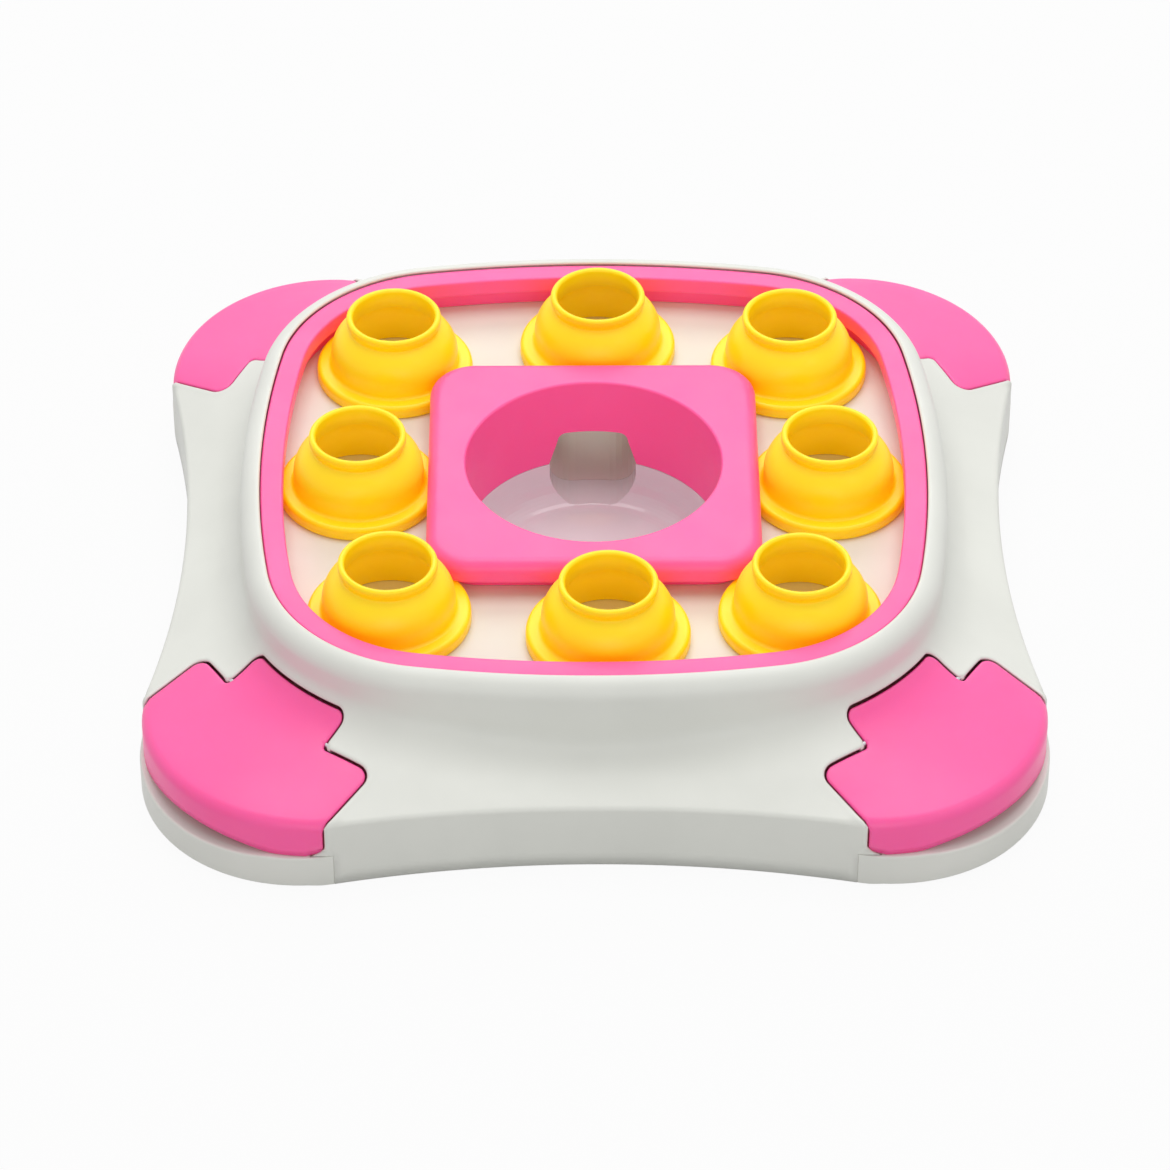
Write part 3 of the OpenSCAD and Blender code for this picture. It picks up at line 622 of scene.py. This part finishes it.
def bowed(t, z, h):
    """Height z, bowed by h over the scoop's width, at distance t from the diagonal."""
    r = ((SCOOP_W / 2) ** 2 + h * h) / 2 / abs(h)
    bow = max(abs(h) - r + math.sqrt(r * r - t * t), 0)
    ease = min(1, max(0, (SCOOP_W / 2 - abs(t)) / 6))
    return z + math.copysign(bow, h) * ease * (2 - ease)


def lid():
    """Half of a lid's face, with its edges rolled over."""
    loops = [
        (mouth_rows(mouth(LID_GAP + inset, LID_ARC_SHIFT, NOTCH_R), LID_SINK, True), drop)
        for inset, drop in ROLL
    ]
    edge = loops[0][0]
    end_a = edge[-1][0]
    side_top = edge_point(end_a, LID_SINK, True, 0)[1]
    down = low_corner(end_a, ROW_FOOT, side_top - SKIRT_Z, ROW_FOOT - ROW_SIDE, LID_LOW_R)
    middle = [(0, row) for row in ROWS if row > edge[0][1] + 0.02]
    border = (
        edge
        + down
        + [(a, ROW_FOOT) for a in np.linspace(down[-1][0], 0, 24)[1:]]
        + middle[::-1][1:]
    )
    lines, drops_of = [], [(edge + down, loops[0][1])]
    for rows, drop in loops[1:]:
        line = rows + [(rows[-1][0], row) for row in np.linspace(ROW_SIDE, down[3][1], 4)[1:]]
        lines.append(line)
        drops_of.append((line, drop))
    last = loops[-1][0]
    spots = [(a, row) for a in np.linspace(0, end_a, 26)[1:-1] for row in ROWS[1:-1]]
    flat = np.array([spread(a, row) for a, row in spots])
    rim = [spread(a, row) for a, row in last] + [spread(last[-1][0], ROW_FOOT)]
    keep = inside(flat, rim + [spread(0, ROW_FOOT)]) & (distance_to(flat, rim) > 0.7)
    spots = [s for s, k in zip(spots, keep) if k]
    foot_z = lambda a: bowed(lid_edge(a) * math.sin(a), SKIRT_Z, SKIRT_ARCH)
    return skin(*half_sheet(border, lines, spots, drops_of), LID_SINK, True, foot_z)


# ---------------------------------------------------------------- the pieces


def eased(profile, r, steps=4, closed=True):
    """A profile with each corner rounded, as far as its neighbours leave room."""
    p = [np.array(q, float) for q in profile]
    n = len(p)
    points = []
    for i in range(n):
        if not closed and i in (0, n - 1):
            points.append(tuple(p[i]))
            continue
        before, here, after = p[i - 1], p[i], p[(i + 1) % n]
        u, v = before - here, after - here
        lu, lv = np.linalg.norm(u), np.linalg.norm(v)
        cut = min(r, 0.48 * lu, 0.48 * lv)
        a, b = here + u / lu * cut, here + v / lv * cut
        for f in np.linspace(0, 1, steps + 1):
            points.append(tuple((1 - f) ** 2 * a + 2 * f * (1 - f) * here + f * f * b))
    return points


def round_the_toy(curve, steps=44):
    """Plan points all round the toy; curve gives the distance at an angle from a diagonal."""
    points = []
    for i in range(4):
        for k in range(2 * steps):
            a = EIGHTH * (k - steps) / steps
            f = math.radians(45 + 90 * i) + a
            points.append((curve(a) * math.cos(f), curve(a) * math.sin(f)))
    return points


def give_wall(obj, full, depth):
    """Makes a face up to full thick; depth(s, t, z) is the room for its wall at a point."""
    relief = obj.vertex_groups.new(name="skin")
    for v in obj.data.vertices:
        x, y, z = abs(v.co.x) / MM, abs(v.co.y) / MM, v.co.z / MM - FOOT_PROUD
        room = depth((x + y) / math.sqrt(2), abs(x - y) / math.sqrt(2), z)
        relief.add([v.index], min(1, max(THINNEST, room / full)), "REPLACE")
    thick = obj.modifiers.new("wall", "SOLIDIFY")
    thick.vertex_group = "skin"
    thick.thickness = full * MM
    thick.offset = -1
    thick.use_even_offset = False


def casing_depth(s, t, z):
    """The casing is thinner where a lid's inner edge swings under it."""
    if t < TOOTH[1] and s < HINGE_S and z > HINGE_Z:
        return math.hypot(s - HINGE_S, z - HINGE_Z) - SWING_R
    return SKIN_T


def lid_depth(s, t, z):
    """A lid is thinner round the casing's teeth, which it swings over."""
    if abs(t - TOOTH[1]) < RELIEF_HALF and s < HINGE_S + RELIEF_OUT:
        return z - HINGE_Z
    return LID_SKIN_T


def rod_pair(r, t0, t1, i):
    """Rods on corner i's hinge line, from t0 to t1 on both sides of the diagonal."""
    pair = []
    for side in (-1, 1):
        points, faces = rod(r, *sorted((side * t0, side * t1)))
        pair.append((turned(points, i), faces))
    return pair


def build_casing():
    points, faces = casing()
    parts, ears = [], []
    ear_t = TOOTH[1] + 0.4
    for i in range(4):
        parts.append((turned(points, i), faces))
        parts.append((turned(mirrored(points), i), faces))
        ears += rod_pair(EAR_R, ear_t, ear_t + EAR_W, i)
    shell = new_object("casing_face", *joined(*parts))
    give_wall(shell, SKIN_T, casing_depth)
    lugs = new_object("casing_ears", *joined(*ears))
    for piece in (shell, lugs):
        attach(piece, "body")
        piece.data.materials.append(WHITE)
    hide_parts("body_shell")


def build_lids():
    points, faces = lid()
    for i, name in enumerate(CORNERS):
        both = joined((turned(points, i), faces), (turned(mirrored(points), i), faces))
        cover = new_object("lid_face_" + name, *both)
        give_wall(cover, LID_SKIN_T, lid_depth)
        t = TOOTH_FOOT[1] + 0.2
        knuckles = rod_pair(KNUCKLE_R, t, t - KNUCKLE_W, i)
        barrel = new_object("lid_knuckles_" + name, *joined(*knuckles))
        for piece in (cover, barrel):
            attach(piece, "lid_" + name)
            piece.data.materials.append(PINK)
        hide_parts("lid_" + name)


def lobe_wall():
    """The tray's outer wall round one corner, in the corner's frame."""
    half = LOBE_HALF - 0.04
    ledge = RIM_Z - SCOOP_DEPTH - FLOOR_T
    end = math.asin(half / outline(math.asin(half / 172)))
    loops = []
    for a in np.linspace(-end, end, 121):
        t = outline(a) * math.sin(a)
        top = bowed(t, RIM_Z, -SCOOP_DEPTH)
        # The edges sharpen towards the ends, where the wall meets the casing
        easing = float(np.interp(abs(t), (40, 43), (1, 0.1)))
        section = [(0, 0), (0, top), (RIM_LEDGE, top), (RIM_LEDGE, ledge)]
        section += [(TRAY_WALL, ledge), (TRAY_WALL, 1.2), (TRAY_WALL, 0)]
        section = eased(section, easing, 5)
        loops.append(
            [(outline(a, d) * math.cos(a), outline(a, d) * math.sin(a), z) for d, z in section]
        )
    return loft(loops, closed_across=False, caps=True)


def build_tray():
    border = round_the_toy(lambda a: outline(a, WALL + SEAT))
    holes = []
    for i in range(4):
        f = i * math.pi / 2
        for x in (-POST_X, POST_X):
            at = x * math.cos(f) - POST_Y * math.sin(f), x * math.sin(f) + POST_Y * math.cos(f)
            holes.append(circle(SCREW_HOLE_R, *at, steps=24))
    parts = [plate(border, 0, FLOOR_T, holes)]
    wall = lobe_wall()
    reach = lambda t: math.sqrt((LOBE_R - TRAY_WALL / 2) ** 2 - t * t) + LOBE_C
    out, back = POCKET_HALF + TRAY_WALL, POCKET_S - TRAY_WALL
    fence = [
        (reach(out), out), (back, out), (back, -out), (reach(out), -out),
        (reach(POCKET_HALF), -POCKET_HALF), (POCKET_S, -POCKET_HALF),
        (POCKET_S, POCKET_HALF), (reach(POCKET_HALF), POCKET_HALF),
    ]
    apron = [(reach(t), t) for t in np.linspace(-LOBE_HALF + 1, LOBE_HALF - 1, 60)]
    apron += [(POCKET_S, LOBE_HALF - 1), (POCKET_S, -LOBE_HALF + 1)]
    for i in range(4):
        fences = plate(fence, 0.6, RIM_Z - 0.1), plate(apron, 0.02, FLOOR_T - 0.02)
        for points, faces in (wall, *fences):
            parts.append((turned(points, i), faces))
    parts.append(lathe(eased([(24.2, 1), (26.8, 1), (26.8, 4.8), (24.2, 4.8)], 0.4)))
    tray = new_object("tray", *joined(*parts))
    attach(tray, "body")
    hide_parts("base_tray")
    tray.data.materials.append(WHITE)
    smooth_by_angle(tray, 40)


def build_ring():
    inner, lip = -RING_WALL, -RING_WALL - RING_LIP
    low = RING_Z - RING_LIP_H
    section = [(0, DECK_Z), (0, RING_Z), (lip, RING_Z), (lip, low), (inner, low), (inner, DECK_Z)]
    section = eased(section, 0.9, 5)
    loops = [[(x, y, z) for x, y in round_the_toy(lambda a: ring(a, d))] for d, z in section]
    hoop = new_object("ring", *loft(loops))
    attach(hoop, "body")
    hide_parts("rim_ring")
    hoop.data.materials.append(PINK)


def square_loop(half, r, z):
    """Points round a square with rounded corners."""
    c = half - r
    points = []
    for i, (x, y) in enumerate(((c, c), (-c, c), (-c, -c), (c, -c))):
        points += [(px, py, z) for px, py in arc((x, y), r, 90 * i, 90 * i + 90, 12)]
    return points


def tube_sheet(r, top, foot, columns):
    """The well's wall at radius r with the doorway cut out, and the line along its foot."""
    half_foot, half_top, door_z = DOOR_FOOT_W / 2, DOOR_TOP_W / 2, WELL_Z + DOOR_H
    corner = [
        (half_top - DOOR_R * (1 - math.sin(f)), door_z - DOOR_R * (1 - math.cos(f)))
        for f in np.radians(np.linspace(90, 0, 7))
    ]
    side = [
        (half_foot + (corner[0][0] - half_foot) * k, foot + (corner[0][1] - foot) * k)
        for k in np.linspace(0, 1, 5)[:-1]
    ]
    right = [(x / r, z) for x, z in side + corner]
    left = [(-x, z) for x, z in right[::-1]]
    over = [(x, corner[-1][1]) for x in np.linspace(right[-1][0], left[0][0], 9)[1:-1]]
    notch = [(math.asin(x), z) for x, z in right + over + left]
    cols = np.linspace(-math.pi, math.pi, columns + 1)
    foot_line = (
        [(f, foot) for f in cols[::-1] if f > notch[0][0] + 0.01]
        + notch
        + [(f, foot) for f in cols[::-1] if f < notch[-1][0] - 0.01]
    )
    heights = np.linspace(foot, top, 8)
    border = (
        foot_line
        + [(-math.pi, z) for z in heights[1:-1]]
        + [(f, top) for f in cols]
        + [(math.pi, z) for z in heights[1:-1][::-1]]
    )
    flat = lambda pts: [(f * r, z) for f, z in pts]
    spots = np.array([(f * r, z) for f in cols[1:-1] for z in heights[1:-1]])
    keep = inside(spots, flat(border)) & (distance_to(spots, flat(foot_line)) > 0.8)
    v, faces = fill(flat(border), spots=spots[keep])
    bend = lambda f, z: (r * math.cos(math.pi / 2 - f), r * math.sin(math.pi / 2 - f), z)
    points = [bend(x / r, z) for x, z in v]
    return (points, faces), [bend(f, z) for f, z in foot_line]


def build_island():
    columns, wall_top = 128, 42.0
    inner, inner_foot = tube_sheet(WELL_R, wall_top, WELL_Z, columns)
    outer, outer_foot = tube_sheet(WELL_R + WELL_WALL, wall_top, WELL_Z, columns)
    parts = [inner, outer]
    count = len(inner_foot)
    strip = inner_foot + outer_foot
    parts.append((strip, [(k, k + 1, count + k + 1, count + k) for k in range(count - 1)]))
    easing = 0.9
    rounds = [(WELL_R, wall_top), (WELL_R, ISLAND_Z - 6)]
    rounds += [
        (WELL_R + easing * (1 - math.cos(f)), ISLAND_Z - easing * (1 - math.sin(f)))
        for f in np.radians(np.linspace(0, 90, 7))
    ]
    rounds.append((WELL_R + easing + 0.3, ISLAND_Z))
    ring_at = lambda r, z: [
        (r * math.cos(math.pi / 2 - f), r * math.sin(math.pi / 2 - f), z)
        for f in np.linspace(-math.pi, math.pi, columns + 1)[:-1]
    ]
    parts.append(loft([ring_at(r, z) for r, z in rounds], closed_across=False))
    stem_z = DECK_Z + 0.2
    sleeve = [ring_at(WELL_R + WELL_WALL, z) for z in (wall_top, stem_z)]
    parts.append(loft(sleeve, closed_across=False))
    lip_round = 0.8
    loops = [square_loop(STEM_HALF, STEM_CORNER_R, z) for z in (stem_z, LIP_Z - 0.6)]
    loops.append(square_loop(STEM_HALF + 0.2, STEM_CORNER_R + 0.2, LIP_Z - 0.15))
    loops.append(square_loop(STEM_HALF + 0.6, STEM_CORNER_R + 0.5, LIP_Z))
    edge = []  # distance in from the island's side, and height
    for f in np.radians(np.linspace(0, 90, 5)):
        edge.append((lip_round * (1 - math.sin(f)), LIP_Z + lip_round * (1 - math.cos(f))))
    for f in np.radians(np.linspace(0, 90, 13)):
        inset, drop = ISLAND_EDGE_R * (1 - math.cos(f)), ISLAND_EDGE_R * (1 - math.sin(f))
        edge.append((inset, ISLAND_Z - drop))
    edge.append((ISLAND_EDGE_R + 0.4, ISLAND_Z))
    loops += [square_loop(ISLAND_HALF - d, ISLAND_CORNER_R - d, z) for d, z in edge]
    parts.append(loft(loops, closed_across=False))
    top, under = (loops[-1], rounds[-1][0], ISLAND_Z), (loops[0], WELL_R + WELL_WALL, stem_z)
    for square, r, z in (top, under):
        hole = [(p[0], p[1]) for p in ring_at(r, z)]
        v, faces = fill([(p[0], p[1]) for p in square], holes=[hole])
        parts.append(([(x, y, z) for x, y in v], faces))
    island = new_object("island", *joined(*parts))
    smooth_by_angle(island, 38)
    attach(island, "body")
    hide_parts("centre_island", "well_wall")
    island.data.materials.append(PINK)


def cup_profile():
    """A cup's closed section, as (radius, height) points."""
    base, top = DECK_Z + GLIDE, DECK_Z + GLIDE + FLANGE_T
    bead_r = BEAD_T / 2
    shoulder = (CUP_R - SHOULDER_R, top + CUP_STRAIGHT)
    neck = MOUTH_R + BEAD_T - NECK_IN
    outer = math.degrees(math.acos((neck - shoulder[0]) / SHOULDER_R))
    inner = math.degrees(math.acos((MOUTH_R - shoulder[0]) / (SHOULDER_R - CUP_WALL)))
    bead_x = MOUTH_R + bead_r
    points = [(FLANGE_R - 0.5, base), (FLANGE_R, base + 0.5)]
    points += arc((FLANGE_R - FLANGE_EDGE_R, top - FLANGE_EDGE_R), FLANGE_EDGE_R, 0, 90, 8)
    points += arc((CUP_R + 1.3, top + 1.3), 1.3, 270, 180, 6)
    points += arc(shoulder, SHOULDER_R, 0, outer - 4, 20)
    neck_z = shoulder[1] + SHOULDER_R * math.sin(math.radians(outer)) + 0.5
    points += arc((neck + 0.9, neck_z), 0.9, 200, 150, 5)
    points += arc((bead_x, CUP_Z - BEAD_H + bead_r + 0.3), bead_r, -35, 0, 5)
    points += arc((bead_x, CUP_Z - bead_r), bead_r, 0, 180, 18)
    points += arc(shoulder, SHOULDER_R - CUP_WALL, inner, 0, 16)
    points += [(CUP_R - CUP_WALL, base + 0.4), (CUP_R - CUP_WALL + 0.4, base)]
    return points


def build_cups():
    for name in ["cup_" + n for n in SIDES + CORNERS]:
        low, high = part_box(name)
        x, y = (low[0] + high[0]) / 2 / MM, (low[1] + high[1]) / 2 / MM
        points, faces = lathe(cup_profile(), 144)
        cup = new_object(name + "_body", [(p[0] + x, p[1] + y, p[2]) for p in points], faces)
        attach(cup, name)
        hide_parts(name)
        cup.data.materials.append(YELLOW)


def smooth_by_angle(obj, degrees):
    """Smooth shading that stops at edges sharper than this."""
    obj.data.set_sharp_from_angle(angle=math.radians(degrees))


# ---------------------------------------------------------------- materials


def srgb(r, g, b):
    """Linear colour of an sRGB one given in 0 to 255."""
    shares = (r / 255, g / 255, b / 255)
    linear = [c / 12.92 if c <= 0.04045 else ((c + 0.055) / 1.055) ** 2.4 for c in shares]
    return (*linear, 1.0)


def plastic(name, colour, deep, roughness, grain_mm, bump, scatter=0.0, glow=None):
    """Moulded plastic: faint cloudiness between two tints, fine grain and uneven gloss.

    roughness is the least and the most of it. glow is painted light: an emission, given as
    a colour and a strength, that brightens the surface in light and in shade alike.
    """
    mat = bpy.data.materials.new(name)
    mat.use_nodes = True
    nodes, links = mat.node_tree.nodes, mat.node_tree.links
    shader = nodes["Principled BSDF"]
    where = nodes.new("ShaderNodeTexCoord")

    def noise(scale, detail, rough=0.5):
        n = nodes.new("ShaderNodeTexNoise")
        n.inputs["Scale"].default_value = scale
        n.inputs["Detail"].default_value = detail
        n.inputs["Roughness"].default_value = rough
        links.new(where.outputs["Object"], n.inputs["Vector"])
        return n

    cloud = noise(28, 3)
    ramp = nodes.new("ShaderNodeMapRange")
    ramp.inputs["From Min"].default_value = 0.35
    ramp.inputs["From Max"].default_value = 0.65
    links.new(cloud.outputs["Fac"], ramp.inputs["Value"])
    mix = nodes.new("ShaderNodeMix")
    mix.data_type = "RGBA"
    mix.inputs[6].default_value, mix.inputs[7].default_value = colour, deep
    links.new(ramp.outputs["Result"], mix.inputs[0])
    links.new(mix.outputs[2], shader.inputs["Base Color"])
    patch = noise(70, 4, 0.6)
    gloss = nodes.new("ShaderNodeMapRange")
    gloss.inputs["From Min"].default_value = 0.3
    gloss.inputs["From Max"].default_value = 0.7
    gloss.inputs["To Min"].default_value, gloss.inputs["To Max"].default_value = roughness
    links.new(patch.outputs["Fac"], gloss.inputs["Value"])
    links.new(gloss.outputs["Result"], shader.inputs["Roughness"])
    grain = noise(1 / (grain_mm * MM), 2)
    relief = nodes.new("ShaderNodeBump")
    relief.inputs["Strength"].default_value = bump
    relief.inputs["Distance"].default_value = 0.05 * MM
    links.new(grain.outputs["Fac"], relief.inputs["Height"])
    links.new(relief.outputs["Normal"], shader.inputs["Normal"])
    shader.inputs["IOR"].default_value = 1.48
    shader.inputs["Subsurface Weight"].default_value = scatter
    shader.inputs["Subsurface Radius"].default_value = (1.0, 0.6, 0.4)
    shader.inputs["Subsurface Scale"].default_value = 1.2 * MM
    # The glow is painted light, an emission that lifts the shaded sides and insides
    if glow:
        shader.inputs["Emission Color"].default_value = glow[0]
        shader.inputs["Emission Strength"].default_value = glow[1]
    return mat


def metal(name, colour):
    """Zinc-plated steel with fine turning marks."""
    mat = plastic(name, colour, tuple(c * 0.9 for c in colour[:3]) + (1,), (0.25, 0.4), 0.5, 0.15)
    mat.node_tree.nodes["Principled BSDF"].inputs["Metallic"].default_value = 1.0
    return mat


WHITE = plastic(
    "white_plastic", srgb(229, 230, 223), srgb(225, 226, 219), (0.38, 0.48), 0.9, 0.10
)
WHITE_GLOSS = plastic(
    "white_gloss", srgb(232, 242, 240), srgb(228, 238, 236), (0.07, 0.12), 2.5, 0.03
)
# glow: painted light, a pink emission that brightens the shaded sides of the ring, island and
# lids
PINK = plastic(
    "pink_plastic", srgb(255, 98, 170), srgb(254, 94, 166), (0.32, 0.42), 0.9, 0.10,
    scatter=0.3, glow=(srgb(255, 20, 90), 0.08),
)
# glow: painted light, a yellow emission that brightens the cups' shaded insides and sides in
# place of light through their thin walls
YELLOW = plastic(
    "yellow_plastic", srgb(255, 228, 5), srgb(254, 224, 3), (0.34, 0.44), 0.8, 0.12,
    scatter=0.3, glow=(srgb(255, 180, 0), 0.16),
)
STEEL = metal("zinc_steel", srgb(200, 202, 205))
RUBBER = plastic("rubber", srgb(40, 40, 42), srgb(34, 34, 36), (0.7, 0.85), 0.7, 0.3)

for node, mat in (
    [("play_deck", WHITE), ("treat_bowl", WHITE_GLOSS), ("treat_chute", WHITE)]
    + [(n, STEEL) for n in ("casing_screws", "ring_screws", "island_screws")]
    + [("hinge_pin_" + c, STEEL) for c in CORNERS]
    + [("foot_" + c, RUBBER) for c in CORNERS]
):
    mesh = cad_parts[node].data
    mesh.materials.clear()
    mesh.materials.append(mat)

build_casing()
build_lids()
build_tray()
build_ring()
build_island()
build_cups()

# ---------------------------------------------------------------- stage, light and camera

scene = bpy.context.scene
scene.view_settings.view_transform = "Standard"


def white_behind(tree, shader, output, glow, share):
    """Shows this share of plain white to the camera and in reflections, and shader otherwise."""
    nodes, links = tree.nodes, tree.links
    path = nodes.new("ShaderNodeLightPath")
    seen = path.outputs["Is Camera Ray"]
    for kind in ("Is Glossy Ray", "Is Transmission Ray"):
        add = nodes.new("ShaderNodeMath")
        add.use_clamp = True
        links.new(seen, add.inputs[0])
        links.new(path.outputs[kind], add.inputs[1])
        seen = add.outputs[0]
    part = nodes.new("ShaderNodeMath")
    part.operation = "MULTIPLY"
    part.inputs[1].default_value = share
    links.new(seen, part.inputs[0])
    white = nodes.new(glow)
    white.inputs["Strength"].default_value = 1.0
    white.inputs["Color"].default_value = (1, 1, 1, 1)
    pick = nodes.new("ShaderNodeMixShader")
    links.new(part.outputs[0], pick.inputs["Fac"])
    links.new(shader.outputs[0], pick.inputs[1])
    links.new(white.outputs[0], pick.inputs[2])
    links.new(pick.outputs[0], output.inputs["Surface"])


floor_mat = bpy.data.materials.new("paper")
floor_mat.use_nodes = True
tree = floor_mat.node_tree
paper = tree.nodes["Principled BSDF"]
paper.inputs["Base Color"].default_value = (0.6, 0.6, 0.6, 1)
paper.inputs["Roughness"].default_value = 0.9
white_behind(tree, paper, tree.nodes["Material Output"], "ShaderNodeEmission", 0.94)
bpy.ops.mesh.primitive_plane_add(size=6)
floor = bpy.context.object
floor.name = "floor"
floor.data.materials.append(floor_mat)

world = bpy.data.worlds.new("studio")
scene.world = world
world.use_nodes = True
tree = world.node_tree
sky = tree.nodes["Background"]
sky.inputs["Color"].default_value = (1, 1, 1, 1)
sky.inputs["Strength"].default_value = 0.55
white_behind(tree, sky, tree.nodes["World Output"], "ShaderNodeBackground", 1.0)


def softbox(name, at, aim, size, power):
    """A rectangular lamp, placed and aimed in metres, with its power in watts."""
    light = bpy.data.lights.new(name, "AREA")
    light.shape = "RECTANGLE"
    light.size, light.size_y = size
    light.energy = power
    obj = bpy.data.objects.new(name, light)
    scene.collection.objects.link(obj)
    obj.location = at
    obj.rotation_euler = (Vector(aim) - Vector(at)).to_track_quat("-Z", "Y").to_euler()


softbox("key", (0.05, 0.3, 1.5), (0, 0, 0), (1.2, 0.9), 9)
softbox("back", (0, 1.6, 1.4), (0, 0, 0.03), (1.8, 0.9), 11)
softbox("front_fill", (0, -1.9, 0.7), (0, 0, 0.03), (1.4, 0.8), 4.6)
softbox("window", (0.87, -0.65, 1.05), (0, 0, 0.01), (0.3, 0.12), 0.6)

# The lens is in pixels of the photo, which is PHOTO_PX wide
LENS_PX, PHOTO_PX, SENSOR_MM = 5198.36, 1170, 36
CAMERA_AT = (-8.898, -1384.022, 1141.733)
CAMERA_AIM = (-2.874, 0, 2.466)
camera = bpy.data.cameras.new("camera")
camera.sensor_width = SENSOR_MM
camera.lens = LENS_PX / PHOTO_PX * SENSOR_MM
eye = bpy.data.objects.new("camera", camera)
scene.collection.objects.link(eye)
eye.location = place(CAMERA_AT)
eye.rotation_euler = (place(CAMERA_AIM) - place(CAMERA_AT)).to_track_quat("-Z", "Y").to_euler()
scene.camera = eye
